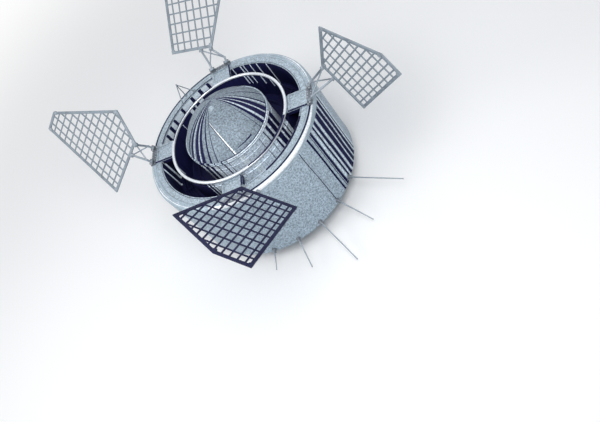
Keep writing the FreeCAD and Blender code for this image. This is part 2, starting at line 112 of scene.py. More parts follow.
# Each paddle's place and set, as in the part: angles in degrees.
Paddle = namedtuple("Paddle", "name around hand out along up turn dip lift "
                              "length width tip point_back point_up columns rows")
PADDLES = (
    Paddle("1", 357.0, -1, 0.525, -0.083, 0.486, 35.4, 45.7, 73.0,
           1.200, 1.800, 0.500, 0.486, 0.960, 8, 7),
    Paddle("2", 94.5, 1, 0.397, -0.009, 0.252, 26.6, 1.0, 40.0,
           1.250, 2.100, 0.600, 0.450, 1.100, 6, 9),
    Paddle("3", 177.0, 1, 0.165, -0.147, 0.396, 70.0, 34.0, 32.0,
           1.500, 2.550, 0.520, 0.345, 0.775, 7, 13),
    Paddle("4", 271.5, 1, 0.344, 0.556, 0.581, 33.0, 25.0, 35.0,
           1.150, 2.000, 0.700, 0.600, 1.470, 8, 9),
)
# Which side of each paddle's bridge carries the cable channel; the channel is near black as
# painted shade, for the shade line along that edge of the bridge.
CHANNEL_SIDES = (-1, -1, 1, 1)


# ---- directions and places ----

def polar(radius, degrees, height):
    angle = math.radians(degrees)
    return Vector((radius * math.cos(angle), radius * math.sin(angle), height))


def around(degrees):
    """A turn about the axis."""
    return Matrix.Rotation(math.radians(degrees), 4, "Z")


def at(*place):
    """A place that is moved and not turned."""
    return Matrix.Translation(place)


def on_wall(radius, degrees, height):
    """A place on an upright wall, its own Z pointing straight out."""
    return around(degrees) @ at(radius, 0, height) @ Matrix.Rotation(math.radians(90), 4, "Y")


def all_round(count, first=0.0, place=Matrix()):
    """Even turns about the axis from a first angle on, each of them of one place."""
    return [around(first + step * 360 / count) @ place for step in range(count)]


def pointing(start, way):
    """A place whose own Z points along a direction."""
    turn = Vector(way).to_track_quat("Z", "Y").to_matrix().to_4x4()
    return at(*start) @ turn


def paddle_place(paddle):
    """The paddle's own plane: X along its inner edge, Y outward from the drum."""
    turn, dip, lift = map(math.radians, (paddle.turn, paddle.dip, paddle.lift))
    up = Vector((0, 0, 1))
    front = polar(1, paddle.around, 0)
    side = polar(1, paddle.around + 90, 0) * paddle.hand
    level_x = front * math.sin(turn) + side * math.cos(turn)
    level_y = front * math.cos(turn) - side * math.sin(turn)
    x_way = level_x * math.cos(dip) - up * math.sin(dip)
    raised = level_x * math.sin(dip) + up * math.cos(dip)
    y_way = level_y * math.cos(lift) + raised * math.sin(lift)
    corner = polar(HINGE_RADIUS, paddle.around, HINGE_Z)
    corner += front * paddle.out + side * paddle.along + up * paddle.up
    turned_to = Matrix((x_way, y_way, x_way.cross(y_way))).transposed().to_4x4()
    return at(*corner) @ turned_to


def paddle_outline(paddle):
    """The paddle's five corners, in its own plane."""
    return [
        Vector((0, 0, 0)),
        Vector((paddle.length, 0, 0)),
        Vector((paddle.length, paddle.width, 0)),
        Vector((paddle.length - paddle.tip, paddle.width, 0)),
        Vector((-paddle.point_back, paddle.point_up, 0)),
    ]


# ---- modelling ----

def deselect():
    if bpy.context.mode != "OBJECT":
        bpy.ops.object.mode_set(mode="OBJECT")
    bpy.ops.object.select_all(action="DESELECT")


def select_only(*pieces):
    deselect()
    for piece in pieces:
        piece.select_set(True)
    bpy.context.view_layer.objects.active = pieces[0]


def edit(piece):
    select_only(piece)
    bpy.ops.object.mode_set(mode="EDIT")
    bpy.ops.mesh.select_all(action="SELECT")


def tidy_mesh():
    """In edit mode: merge doubles and turn every face outwards."""
    bpy.ops.mesh.select_all(action="SELECT")
    bpy.ops.mesh.remove_doubles(threshold=0.00001)
    bpy.ops.mesh.normals_make_consistent(inside=False)


def leave_edit(tidy=False):
    if tidy:
        tidy_mesh()
    bpy.ops.object.mode_set(mode="OBJECT")


def pick(piece, kind, test):
    """In edit mode: select the faces or the edges that pass a test."""
    bpy.ops.mesh.select_all(action="DESELECT")
    bpy.ops.mesh.select_mode(type=kind)
    mesh = bmesh.from_edit_mesh(piece.data)
    for item in mesh.faces if kind == "FACE" else mesh.edges:
        item.select = test(item)
    mesh.select_flush_mode()
    bmesh.update_edit_mesh(piece.data)


def pick_faces(piece, test):
    """In edit mode: select the faces whose middle and normal pass a test."""
    pick(piece, "FACE", lambda face: test(face.calc_center_median(), face.normal))


def pick_edges(piece, test):
    """In edit mode: select the edges whose two ends pass a test."""
    pick(piece, "EDGE", lambda edge: test(edge.verts[0].co, edge.verts[1].co))


def close_ring(piece, level):
    """In edit mode: close the open ring at a level with one face."""
    pick_edges(piece, lambda a, b: abs(a.z - level) < 0.0001 and abs(b.z - level) < 0.0001)
    bpy.ops.mesh.edge_face_add()


def inset(*steps):
    """In edit mode: inset the selected faces by each (thickness, depth) in turn."""
    for thickness, depth in steps:
        bpy.ops.mesh.inset(thickness=thickness, depth=depth)


def primitive(add, scale=(1, 1, 1), **settings):
    """A new primitive, turned and scaled in its own mesh."""
    deselect()
    add(**settings)
    piece = bpy.context.object
    piece.scale = scale
    bpy.ops.object.transform_apply(location=True, rotation=True, scale=True)
    return piece


def moved(piece, place):
    """Put a piece in its place and leave its object at the origin."""
    select_only(piece)
    piece.matrix_world = place
    bpy.ops.object.transform_apply(location=True, rotation=True, scale=True)
    return piece


def turned(profile, sides=RING_SIDES, start=0.0):
    """A shape turned about its own Z: a circle drawn out through each (radius, height)."""
    radius, height = profile[0]
    piece = primitive(bpy.ops.mesh.primitive_circle_add, vertices=sides, radius=radius,
                      location=(0, 0, height), rotation=(0, 0, math.radians(start)))
    edit(piece)
    for next_radius, next_height in profile[1:]:
        rise = (0, 0, next_height - height)
        bpy.ops.mesh.extrude_edges_move(TRANSFORM_OT_translate={"value": rise})
        if next_radius == 0:
            bpy.ops.mesh.merge(type="CENTER")
            break
        factor = next_radius / radius
        bpy.ops.transform.resize(value=(factor, factor, 1), center_override=(0, 0, next_height))
        radius, height = next_radius, next_height
    leave_edit(tidy=True)
    return piece


def ring(profile, sides=RING_SIDES, start=0.0):
    """A turned shape whose profile closes on itself."""
    return turned(profile + profile[:1], sides, start)


def near(radius, height, *steps):
    """Points of a profile, each given by how far it lies out from and above one place."""
    return [(radius + out, height + up) for out, up in steps]


def arc(centre_r, centre_z, radius, first, last, steps):
    """Points of an arc in the turning plane, angles in degrees from straight out."""
    points = []
    for step in range(steps + 1):
        angle = math.radians(first + (last - first) * step / steps)
        points.append((centre_r + radius * math.cos(angle), centre_z + radius * math.sin(angle)))
    return points


def bar(size, place, edge=0.003, segments=2):
    """A square bar or plate with rounded edges, its middle at its place."""
    piece = primitive(bpy.ops.mesh.primitive_cube_add, size, size=1)
    edit(piece)
    bpy.ops.mesh.bevel(offset=edge, segments=segments, affect="EDGES")
    leave_edit(tidy=True)
    return moved(piece, place)


def added(name, data):
    """A new object with its data, in the scene."""
    made = bpy.data.objects.new(name, data)
    bpy.context.scene.collection.objects.link(made)
    return made


def copies(pattern, places):
    """One piece of copies of a small part, each with its own mesh in its place."""
    made = []
    for place in places:
        made.append(added("copy", pattern.data.copy()))
        made[-1].data.transform(place)
    bpy.data.objects.remove(pattern)
    return joined(made)


def joined(pieces):
    select_only(*pieces)
    if len(pieces) > 1:
        bpy.ops.object.join()
    return bpy.context.object


def coat(piece, finish):
    """Give a piece its one material."""
    piece.data.materials.clear()
    piece.data.materials.append(finish)


def finished(name, piece, finish, stands_for=(), body="body", smooth=32.0):
    """Name and shade a piece, give it its finish and put it on its body."""
    piece.name = name
    select_only(piece)
    bpy.ops.object.shade_smooth_by_angle(angle=math.radians(smooth))
    coat(piece, finish)
    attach(piece, body)
    if stands_for:
        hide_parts(*stands_for)


# ---- finishes ----

class Nodes:
    """A node tree and short ways to add to it."""

    def __init__(self, tree):
        self.tree = tree

    def node(self, kind, inputs=(), **settings):
        """A new node with its settings, and its inputs fed by name or by number."""
        made = self.tree.nodes.new("ShaderNode" + kind)
        for key, value in settings.items():
            setattr(made, key, value)
        for key, value in dict(inputs).items():
            self.feed(made.inputs[key], value)
        return made

    def feed(self, socket, value):
        if isinstance(value, bpy.types.NodeSocket):
            self.tree.links.new(value, socket)
        else:
            socket.default_value = value

    def math(self, operation, *values):
        return self.node("Math", enumerate(values), operation=operation).outputs[0]

    def both(self, one, two):
        """1 where two masks are both 1."""
        return self.math("MULTIPLY", one, two)

    def mix(self, amount, one, two):
        return self.node("Mix", {0: amount, 6: one, 7: two}, data_type="RGBA").outputs[2]

    def spread(self, value, low, high, to_low, to_high, **settings):
        """A value carried from one range to another and held at the ends."""
        numbers = enumerate((value, low, high, to_low, to_high))
        return self.node("MapRange", numbers, **settings).outputs[0]

    def blend(self, value, low, high, one, two):
        """One colour up to a low value, another from a high value on."""
        return self.mix(self.spread(value, low, high, 0.0, 1.0), one, two)

    def show(self, output, part, first, second):
        """Send a first shader to the output, and a second one where part is 1."""
        mixed = self.node("MixShader", {0: part, 1: first.outputs[0], 2: second.outputs[0]})
        self.feed(self.tree.nodes[output].inputs["Surface"], mixed.outputs[0])


class Finish(Nodes):
    """One material and the nodes that make it."""

    def __init__(self, name, metallic, roughness, sheen=0.5):
        self.material = bpy.data.materials.new(name)
        self.material.use_nodes = True
        super().__init__(self.material.node_tree)
        self.shader = self.tree.nodes["Principled BSDF"]
        self.give("Metallic", metallic)
        self.give("Roughness", roughness)
        self.give("Specular IOR Level", sheen)
        self.place = self.node("TexCoord").outputs["Object"]

    def give(self, name, value):
        """Feed one of the shader's sockets."""
        self.feed(self.shader.inputs[name], value)

    def surface(self, colour, specks, roughness, height, strength, distance=0.001):
        """Give the shader its speckled colour, roughness and bump; the material is done."""
        raised = {"Height": height, "Strength": strength, "Distance": distance}
        self.give("Normal", self.node("Bump", raised).outputs[0])
        self.give("Base Color", self.grain(colour, *specks))
        self.give("Roughness", roughness)
        return self.material

    def noise(self, scale, place=None, detail=2.0):
        inputs = {"Scale": scale, "Detail": detail, "Vector": place or self.place}
        return self.node("TexNoise", inputs).outputs[0]

    def cloudy(self, scale, low, high):
        """A value that drifts between two others in soft patches."""
        return self.spread(self.noise(scale, detail=4.0), 0.3, 0.7, low, high)

    def degrees_round(self, pole=(0, 0)):
        """The angle round the axis or round a pole beside it, in degrees, and the height."""
        centred = self.node("Mapping", {"Vector": self.place, "Location": (-pole[0], -pole[1], 0)})
        split = self.node("SeparateXYZ", {0: centred.outputs[0]}).outputs
        return self.math("DEGREES", self.math("ARCTAN2", split["Y"], split["X"])), split["Z"]

    def brushing(self, angle, height, fine, coarse):
        """Noise drawn out along the axis, for a brushed or polished wall."""
        drawn_out = {"X": self.math("MULTIPLY", angle, fine),
                     "Y": self.math("MULTIPLY", height, coarse)}
        return self.noise(1.0, self.node("CombineXYZ", drawn_out).outputs[0], 3.0)

    def stripes(self, angle, places, period=360.0):
        """1 inside each stripe, given by its (start, width) in degrees, and 0 elsewhere."""
        shown = 0.0
        for run in stripe_runs(places):
            begin = run[0][0] - 0.5
            span = run[-1][0] + run[-1][1] + 0.5 - begin
            turned_by = self.math("FLOORED_MODULO", self.math("SUBTRACT", angle, begin), period)
            holder = self.node("ValToRGB", {"Fac": self.math("DIVIDE", turned_by, span)})
            ramp = holder.color_ramp
            ramp.interpolation = "CONSTANT"
            ramp.elements.remove(ramp.elements[1])
            ramp.elements[0].color = BLACK
            for start, width in run:
                low = (start - begin) / span
                ramp.elements.new(low).color = WHITE
                ramp.elements.new(low + width / span).color = BLACK
            shown = self.math("MAXIMUM", shown, holder.outputs["Color"])
        return shown

    def groove_at(self, radius, half):
        """1 within half of a radius from the axis, and 0 elsewhere."""
        flat = self.node("VectorMath", {0: self.place, 1: (1, 1, 0)}, operation="MULTIPLY")
        length = self.node("VectorMath", {0: flat.outputs[0]}, operation="LENGTH")
        return self.math("COMPARE", length.outputs["Value"], radius, half)

    def gleam(self, slant, end_x, end_y, start_y):
        """A painted highlight: one thin streak that widens towards its end, straight as seen from
        above, and beside it a thin line of painted shade.
        """
        level = self.node("SeparateXYZ", {0: self.place}).outputs
        run = self.math("SUBTRACT", level["Y"], end_y)
        middle = self.math("MULTIPLY_ADD", run, 1 / math.tan(math.radians(slant)), end_x)
        off = self.math("ABSOLUTE", self.math("SUBTRACT", level["X"], middle))
        half = self.spread(level["Y"], end_y, start_y, 0.017, 0.003)
        before = self.math("LESS_THAN", level["Y"], start_y)
        beside = self.math("SUBTRACT", middle, level["X"])
        shade = self.math("COMPARE", beside, self.math("ADD", half, 0.009), 0.009)
        return self.both(self.math("LESS_THAN", off, half), before), self.both(shade, before)

    def grain(self, colour, scale, depth):
        """Specks of light and dark over a colour, coarse and fine."""
        fine = self.noise(scale * 2.7, detail=1.0)
        specks = self.math("ADD", self.noise(scale, detail=1.0), fine)
        lift = self.spread(specks, 0.74, 1.26, 1.0 - depth, 1.0 + depth)
        return self.node("VectorMath", {0: colour, "Scale": lift}, operation="SCALE").outputs[0]

    def wear(self, colour, scale, worn, amount):
        """Soft cloudy patches of a second colour."""
        cloud = self.noise(scale, detail=4.0)
        return self.mix(self.spread(cloud, 0.45, 0.75, 0.0, amount), colour, worn)


WHITE = (1, 1, 1, 1)
BLACK = (0, 0, 0, 1)

# What a plain finish is made of: the scale of its worn patches and their share, the scale and
# depth of its grain, the scale of its dull clouds and how far they go below and above its
# roughness, and the scale, strength and depth of its tooth.
Kind = namedtuple("Kind", "patches worn grain depth clouds smoother rougher tooth raised deep")
SHEET = Kind(1.6, 0.9, 26.0, 0.42, 5.0, 0.06, 0.10, 220.0, 0.10, 0.001)
PAINTED_SHADE_KIND = Kind(2.0, 0.9, 60.0, 0.25, 7.0, 0.08, 0.12, 180.0, 0.2, 0.001)
METAL = Kind(4.0, 0.8, 120.0, 0.10, 14.0, 0.08, 0.12, 300.0, 0.12, 0.0008)

STRIPES_A_RAMP = 15              # a colour ramp holds 32 stops
STRIPE_RUN = 60.0                # degrees that one ramp covers at most, for sharp edges
# Colours. The *_STREAK colours and BRIGHT are painted highlights, and SHADOW_BLUE and
# SHADOW_LIFTED are painted shade and the dark of painted reflections.
SILVER = (0.37, 0.450, 0.515, 1)           # level sheet
SILVER_WORN = (0.31, 0.378, 0.438, 1)
WALL_SILVER = (0.38, 0.460, 0.530, 1)      # upright sheet
WALL_WORN = (0.34, 0.415, 0.480, 1)
WALL_STREAK = (0.56, 0.650, 0.720, 1)
# The dome's silver, painted darker than the walls' to offset the stronger light on its top:
# painted shade.
DOME_DARKENED_SILVER = (0.235, 0.287, 0.335, 1)
DOME_WORN = (0.205, 0.252, 0.295, 1)
DOME_STREAK = (0.50, 0.580, 0.650, 1)
WALL_PALE = (0.76, 0.870, 0.970, 1)        # upright sheet down in the slots, painted paler than the drum's silver to make up for the shade there: painted light
WALL_PALE_WORN = (0.68, 0.780, 0.875, 1)
PALE_STREAK = (0.83, 0.930, 1.0, 1)
# COLLAR_PALE is the collar's silver, painted paler to make up for the shade on its upright sides:
# painted light.
COLLAR_PALE = (0.44, 0.520, 0.590, 1)
COLLAR_STREAK = (0.62, 0.700, 0.770, 1)
BRIGHT = (0.95, 1.0, 1.0, 1)
SHADOW_BLUE = (0.007, 0.008, 0.048, 1)
SHADOW_LIFTED = (0.014, 0.016, 0.075, 1)

# Painted reflections and painted shade, as (start, width) in degrees round the axis; the dome's go
# round its pole. The dark and light stripes stand for what the polished walls reflect, the wide
# dark runs are painted shade, the wide light runs are painted light, and on the slots' dark walls
# the light runs are painted highlight streaks.
DRUM_DARK = ((-42.9, 0.5), (-33.8, 1.3), (-30.7, 0.6), (-29.6, 1.7), (-25.3, 1.4),
             (-22.2, 2.3), (-17.6, 3.5), (-12.7, 3.1), (-7.9, 3.0), (-3.0, 1.2))
DRUM_LIGHT = ((-27.3, 1.6), (-23.7, 1.3), (-19.4, 1.4), (-13.7, 0.8),
              (-9.3, 1.2), (-4.7, 1.6), (-1.4, 1.8))
WALL_LEFT_DARK = ((-149.5, 1.2), (-145.0, 1.4), (-139.5, 2.0), (-132.0, 9.2), (-119.4, 5.2),
                  (-107.6, 1.5), (-98.4, 1.8), (-91.8, 1.0))
CONTAINER_DARK = WALL_LEFT_DARK + ((-44.4, 0.7), (-34.2, 1.4), (-28.3, 4.6), (-19.7, 7.4),
                                   (-9.0, 8.0))
CONTAINER_LIGHT = ((-143.4, 3.6), (-137.2, 4.0), (-122.6, 3.0), (-112.5, 3.6),
                   (-77.0, 6.6), (-23.5, 3.3), (-12.2, 3.0))
SHROUD_DARK = ((-200.0, 40.0), (-158.0, 44.0), (-113.0, 2.4), (-108.6, 1.4), (-97.0, 1.0),
               (-50.0, 0.6), (-43.4, 0.7), (-39.2, 2.2), (-34.9, 4.3), (-28.7, 3.0),
               (-23.3, 1.4), (-18.2, 98.2), (137.0, 4.4), (146.0, 3.0))
SHROUD_LIGHT = ((-68.0, 6.0), (-36.6, 1.8), (-30.0, 1.2), (-25.4, 2.2))
COLLAR_LIGHT = ((-92.0, 86.0),)
DOME_DARK = ((-142.0, 3.2), (-135.4, 4.2), (-125.4, 6.0), (-116.8, 4.4), (-107.4, 2.4),
             (-99.4, 0.9), (-45.4, 0.6), (-40.6, 3.9), (-33.6, 6.2), (-25.2, 6.2),
             (-14.4, 2.8), (3.0, 2.2), (22.0, 1.2), (40.0, 1.6), (55.0, 3.4), (63.0, 2.6),
             (128.0, 2.4), (139.0, 4.0), (147.0, 5.0), (157.0, 2.4))
DOME_LIGHT = ((-129.6, 1.8), (-119.4, 1.4), (-36.4, 2.4), (-27.0, 1.5), (-17.4, 3.0))
SLOT_FAR = ((3.0, 2.5), (11.0, 2.0), (54.2, 1.0), (63.5, 0.9), (69.5, 0.9), (75.1, 0.9),
            (77.9, 0.8), (84.6, 0.9), (93.0, 14.3), (109.3, 5.2), (117.4, 5.8),
            (125.6, 9.2), (137.0, 8.5), (147.5, 4.0), (154.5, 4.8), (161.5, 14.0))
SLOT_NEAR = tuple((start - 180, width) for start, width in SLOT_FAR if start < 145)
LINING_LIGHT = ((-116.0, 102.0), (21.5, 1.4), (39.6, 1.2), (51.2, 1.2), (62.0, 1.1),
                (67.0, 1.1), (70.6, 1.1), (118.0, 5.0), (127.0, 1.5), (132.0, 3.4))
LINING_LIGHT_DEPTH = 0.27        # how far down from the front the lining's painted highlight streaks reach

# Single painted marks of shade and highlight, in the same way.
LIP_INNER_SHADE = (-71.0, 55.0)
LIP_OUTER_SHADE = (104.0, 66.0)
OPENING_SHADE = ((102.0, 66.0), (-62.0, 44.0))
RIM_GROOVE_SHADE = (-84.0, 74.0)
RIM_POLISH_AND_HIGHLIGHT_FROM = 74.0           # the rim's bend, polished and painted with a highlight, in degrees of each half turn
RIM_POLISH_AND_HIGHLIGHT_TO = 172.0
DOME_POLE = (0.006, 0.320)       # where the dome's painted reflection streaks meet
DOME_GLEAM = (116.5, 0.225, -0.955, -0.330)    # the dome's painted highlight streak: slant, x and y at its end, y at its start
FOOT_ARC = (-78.0, 21.0)         # painted shade: the short dark arc above the dome's foot
# Painted shade along the crease at the dome's foot.
FOOT_LINE = (-97.0, 92.0)


def stripe_runs(places):
    """The stripes in order, in runs that one colour ramp can hold sharply."""
    runs = []
    for start, width in sorted(places):
        if (runs and start + width - runs[-1][0][0] <= STRIPE_RUN
                and len(runs[-1]) < STRIPES_A_RAMP):
            runs[-1].append((start, width))
        else:
            runs.append([(start, width)])
    return runs


def dome_marks(finish, angle, height, under):
    """The dome's painted highlight streak with its painted shade line, and the painted shade lines
    at its foot, over a colour.
    """
    shine, shade = finish.gleam(*DOME_GLEAM)
    marked = finish.mix(shine, finish.mix(shade, under, SHADOW_BLUE), BRIGHT)
    foot = finish.both(finish.math("LESS_THAN", height, COLLAR_TOP + 0.014),
                       finish.stripes(angle, (FOOT_LINE,)))
    half = finish.spread(angle, FOOT_ARC[0], sum(FOOT_ARC), 0.003, 0.014)
    short_arc = finish.both(finish.stripes(angle, (FOOT_ARC,)),
                            finish.math("COMPARE", height, COLLAR_TOP + 0.085, half))
    return finish.mix(finish.math("MAXIMUM", foot, short_arc), marked, SHADOW_BLUE)


def striped_wall(name, base, worn, dark, light, period=180.0, metallic=0.45, roughness=0.42,
                 pole=(0, 0), waver=0.5, streak=PALE_STREAK, sheen=0.2, marks=None):
    """Satin sheet metal with painted reflections: the dark and light stripes stand for what a
    polished wall reflects, and wide runs of them for painted shade and painted light.
    """
    finish = Finish(name, metallic, roughness, sheen)
    angle, height = finish.degrees_round(pole)
    brushed = finish.brushing(angle, height, 1.1, 0.5)
    sway = finish.spread(finish.brushing(angle, height, 0.12, 0.9), 0.3, 0.7, -waver, waver)
    unsteady = finish.math("ADD", angle, sway)
    sheet = finish.wear(finish.blend(brushed, 0.35, 0.65, worn, base), 0.9, worn, 0.6)
    # Painted reflections: light stripes in the highlight colour, then dark ones in the shade blue.
    lit = finish.mix(finish.stripes(unsteady, light, period), sheet, streak)
    dark_part = finish.stripes(unsteady, dark, period)
    marked = finish.mix(dark_part, lit, SHADOW_BLUE)
    if marks:
        marked = marks(finish, angle, height, marked)
    finish.give("Metallic", finish.math("MULTIPLY_ADD", dark_part, -metallic, metallic))
    satin = finish.spread(brushed, 0.3, 0.7, roughness - 0.05, roughness + 0.10)
    return finish.surface(marked, (SHEET.grain, 0.45),
                          finish.math("MULTIPLY_ADD", dark_part, 0.20, satin),
                          finish.brushing(angle, height, 6.0, 1.5), 0.10, 0.002)


def plain(name, colour, worn, metallic, roughness=0.38, sheen=0.5, kind=METAL, groove_r=None):
    """A plain finish with specks and worn patches, with painted shade in a groove at one radius.
    """
    finish = Finish(name, metallic, roughness, sheen)
    base = finish.wear(colour, kind.patches, worn, kind.worn)
    # Painted shade in the groove round the opening, bolder along two stretches.
    if groove_r:
        bolder = finish.stripes(finish.degrees_round()[0], OPENING_SHADE)
        half = finish.math("MULTIPLY_ADD", bolder, 0.016, 0.006)
        base = finish.mix(finish.groove_at(groove_r, half), base, SHADOW_BLUE)
    dull = finish.cloudy(kind.clouds, roughness - kind.smoother, roughness + kind.rougher)
    return finish.surface(base, (kind.grain, kind.depth), dull, finish.noise(kind.tooth),
                          kind.raised, kind.deep)


def rim_silver(name):
    """The rim: silver as the cover; round its bend on two sides it is polished smoother and
    painted brighter, a painted highlight.
    """
    finish = Finish(name, 0.35, 0.36, 0.3)
    angle, height = finish.degrees_round()
    brushed = finish.brushing(angle, height, 0.5, 40.0)
    sway = finish.spread(finish.brushing(angle, height, 0.05, 0.0), 0.35, 0.65, 0.0, 0.016)
    turned_into = finish.math("FLOORED_MODULO", angle, 180.0)
    begin = finish.spread(turned_into, RIM_POLISH_AND_HIGHLIGHT_FROM, RIM_POLISH_AND_HIGHLIGHT_FROM + 8.0, 0.0, 1.0)
    end = finish.spread(turned_into, RIM_POLISH_AND_HIGHLIGHT_TO - 34.0, RIM_POLISH_AND_HIGHLIGHT_TO, 1.0, 0.0)
    reach = finish.spread(finish.both(begin, end), 0.0, 1.0, FRONT_Z, FRONT_Z - 0.058)
    bend = finish.math("GREATER_THAN", finish.math("ADD", height, sway), reach)
    polish_and_highlight = finish.both(bend, finish.math("LESS_THAN", height, FRONT_Z - 0.003))
    # Painted shade in the groove beside the cover, along one stretch of each half turn.
    groove = finish.both(finish.stripes(angle, (RIM_GROOVE_SHADE,), 180.0),
                         finish.groove_at(RIM_GROOVE_R, 0.020))
    base = finish.wear(SILVER, SHEET.patches, SILVER_WORN, SHEET.worn)
    # The painted highlight's colour on the bend.
    bright = finish.blend(brushed, 0.3, 0.7, (0.72, 0.75, 0.79, 1), (0.82, 0.85, 0.88, 1))
    shown = finish.mix(groove, finish.mix(polish_and_highlight, base, bright), SHADOW_BLUE)
    dull = finish.math("MULTIPLY_ADD", polish_and_highlight, -0.22, 0.56)
    return finish.surface(shown, (SHEET.grain, 0.18),
                          finish.math("MULTIPLY_ADD", brushed, 0.10, dull), brushed, 0.04)


def polished(name):
    """Pale rolled and polished metal, with painted shade along one stretch of either side."""
    finish = Finish(name, 0.55, 0.32, 0.2)
    angle, height = finish.degrees_round()
    brushed = finish.brushing(angle, height, 0.8, 30.0)
    base = finish.blend(brushed, 0.3, 0.7, (0.62, 0.67, 0.72, 1), (0.78, 0.81, 0.85, 1))
    widens_from = LIP_INNER_SHADE[0]
    half = finish.spread(angle, widens_from, widens_from + 19.0, 0.022, 0.031)
    inner = finish.both(finish.groove_at(SHROUD_MIDDLE - 0.004, half),
                        finish.stripes(angle, (LIP_INNER_SHADE,)))
    outer = finish.both(finish.groove_at(SHROUD_MIDDLE + 0.012, 0.024),
                        finish.stripes(angle, (LIP_OUTER_SHADE,)))
    shade = finish.math("MAXIMUM", inner, outer)
    finish.give("Metallic", finish.math("MULTIPLY_ADD", shade, -0.55, 0.55))
    return finish.surface(finish.mix(shade, base, SHADOW_BLUE), (30.0, 0.10),
                          finish.spread(brushed, 0.3, 0.7, 0.28, 0.40), brushed, 0.05)


def shaded_wall(name, light, lowest=0.0):
    """The slots' walls in painted shade, dark blue, with painted highlight streaks down to a
    height.
    """
    finish = Finish(name, 0.15, 0.45, 0.25)
    angle, height = finish.degrees_round()
    brushed = finish.brushing(angle, height, 0.9, 0.8)
    base = finish.blend(brushed, 0.35, 0.65, SHADOW_BLUE, SHADOW_LIFTED)
    # Painted highlight streaks over the painted shade.
    highlights = finish.both(finish.stripes(angle, light),
                       finish.math("GREATER_THAN", height, lowest))
    return finish.surface(finish.mix(highlights, base, PALE_STREAK), (60.0, 0.22),
                          finish.spread(brushed, 0.3, 0.7, 0.38, 0.55), finish.noise(160.0), 0.15)


DRUM_SILVER = striped_wall("drum_silver", WALL_SILVER, WALL_WORN, DRUM_DARK, DRUM_LIGHT,
                           waver=0.25, streak=WALL_STREAK, sheen=0.06)
COLLAR_SILVER = striped_wall("collar_silver", COLLAR_PALE, WALL_SILVER, WALL_LEFT_DARK,
                             COLLAR_LIGHT, 360.0, 0.30, streak=COLLAR_STREAK)
CONTAINER_SILVER = striped_wall("container_silver", WALL_PALE, WALL_PALE_WORN, CONTAINER_DARK,
                                CONTAINER_LIGHT, metallic=0.15)
DOME_SILVER = striped_wall("dome_silver", DOME_DARKENED_SILVER, DOME_WORN, DOME_DARK, DOME_LIGHT, 360.0,
                           0.25, 0.58, DOME_POLE, streak=DOME_STREAK, marks=dome_marks)
SHROUD_SILVER = striped_wall("shroud_silver", WALL_PALE, WALL_PALE_WORN, SHROUD_DARK,
                             SHROUD_LIGHT, 360.0, 0.15)
COVER_SILVER = plain("cover_silver", SILVER, SILVER_WORN, 0.45, 0.42, kind=SHEET)
GROOVED_SILVER = plain("grooved_silver", SILVER, SILVER_WORN, 0.45, 0.42, kind=SHEET,
                       groove_r=OPENING_R + 0.027)
RIM_SILVER = rim_silver("rim_silver")
LIP_POLISH = polished("polished_lip")
# The slots' and the shroud's walls are painted shade, with painted highlight streaks.
SLOT_SHADE = shaded_wall("slot_painted_shade", SLOT_FAR + SLOT_NEAR)
LINING_SHADE = shaded_wall("lining_painted_shade", LINING_LIGHT, FRONT_Z - LINING_LIGHT_DEPTH)
# Painted shade: a dark blue for the deck, the bridges' flanges, the cable channels, the brackets
# and pipes in the slots, and the hidden instrument block.
PAINTED_SHADE_DARK = plain("painted_shade_dark", SHADOW_BLUE, SHADOW_LIFTED, 0.15, 0.5, 0.25, PAINTED_SHADE_KIND)
# Near white, so that the slots' and the shroud's ribs read as painted highlight streaks.
STREAK_METAL = plain("slot_rib_metal", (0.80, 0.90, 1.0, 1), (0.70, 0.79, 0.88, 1), 0.10, 0.40)
PADDLE_METAL = plain("paddle_metal", (0.215, 0.26, 0.30, 1), (0.165, 0.20, 0.235, 1), 0.25, 0.48)
PADDLE_EDGE = plain("paddle_frame_metal", (0.235, 0.282, 0.325, 1), (0.125, 0.146, 0.172, 1),
                    0.30, 0.45)
# A dark copy of the paddle metal for paddle 4: painted shade.
SHADED_PADDLE_METAL = plain("shaded_paddle_metal", (0.008, 0.010, 0.042, 1), (0.016, 0.019, 0.062, 1),
                   0.10, 0.55, 0.25)
SHADED_PADDLES = ("4",)
ARM_METAL = plain("arm_metal", (0.27, 0.315, 0.36, 1), (0.37, 0.415, 0.46, 1), 0.45, 0.40)
WHIP_METAL = plain("whip_metal", (0.24, 0.285, 0.33, 1), (0.34, 0.39, 0.44, 1), 0.4, 0.42)
FITTING_METAL = plain("fitting_metal", (0.16, 0.18, 0.21, 1), (0.28, 0.30, 0.33, 1), 0.5)
SCREW_METAL = plain("screw_metal", (0.30, 0.33, 0.37, 1), (0.46, 0.49, 0.53, 1), 0.5)
PIN_STEEL = plain("pin_steel", (0.50, 0.53, 0.57, 1), (0.38, 0.41, 0.45, 1), 0.9, 0.28)
ADAPTER_METAL = plain("adapter_metal", (0.26, 0.29, 0.33, 1), (0.36, 0.39, 0.43, 1), 0.5, 0.45)


# ---- small parts used many times ----

def screw_head(radius, height):
    """A low round head with a bevelled crown, pointing up from the ground."""
    piece = primitive(bpy.ops.mesh.primitive_cylinder_add, vertices=8, radius=radius,
                      depth=height, location=(0, 0, height / 2 - 0.001))
    edit(piece)
    pick_faces(piece, lambda middle, normal: normal.z > 0.9)
    inset((radius * 0.4, height * 0.4))
    leave_edit()
    return piece


def hex_bolt(radius, height):
    """A six-sided bolt head on its washer."""
    head = turned([(radius * 1.5, -0.002), (radius * 1.5, 0.003), (radius * 1.42, 0.004),
                   (radius, 0.004), (radius, height - 0.002), (radius * 0.86, height),
                   (0, height)], 6)
    washer = turned([(radius * 1.6, -0.002), (radius * 1.6, 0.003), (radius * 1.5, 0.0045),
                     (0, 0.0045)], 16)
    return joined([head, washer])


def make_screws(name, places):
    """The small screws that hold a sheet."""
    finished(name, copies(screw_head(*SMALL_SCREW), places), SCREW_METAL)


# ---- drum ----

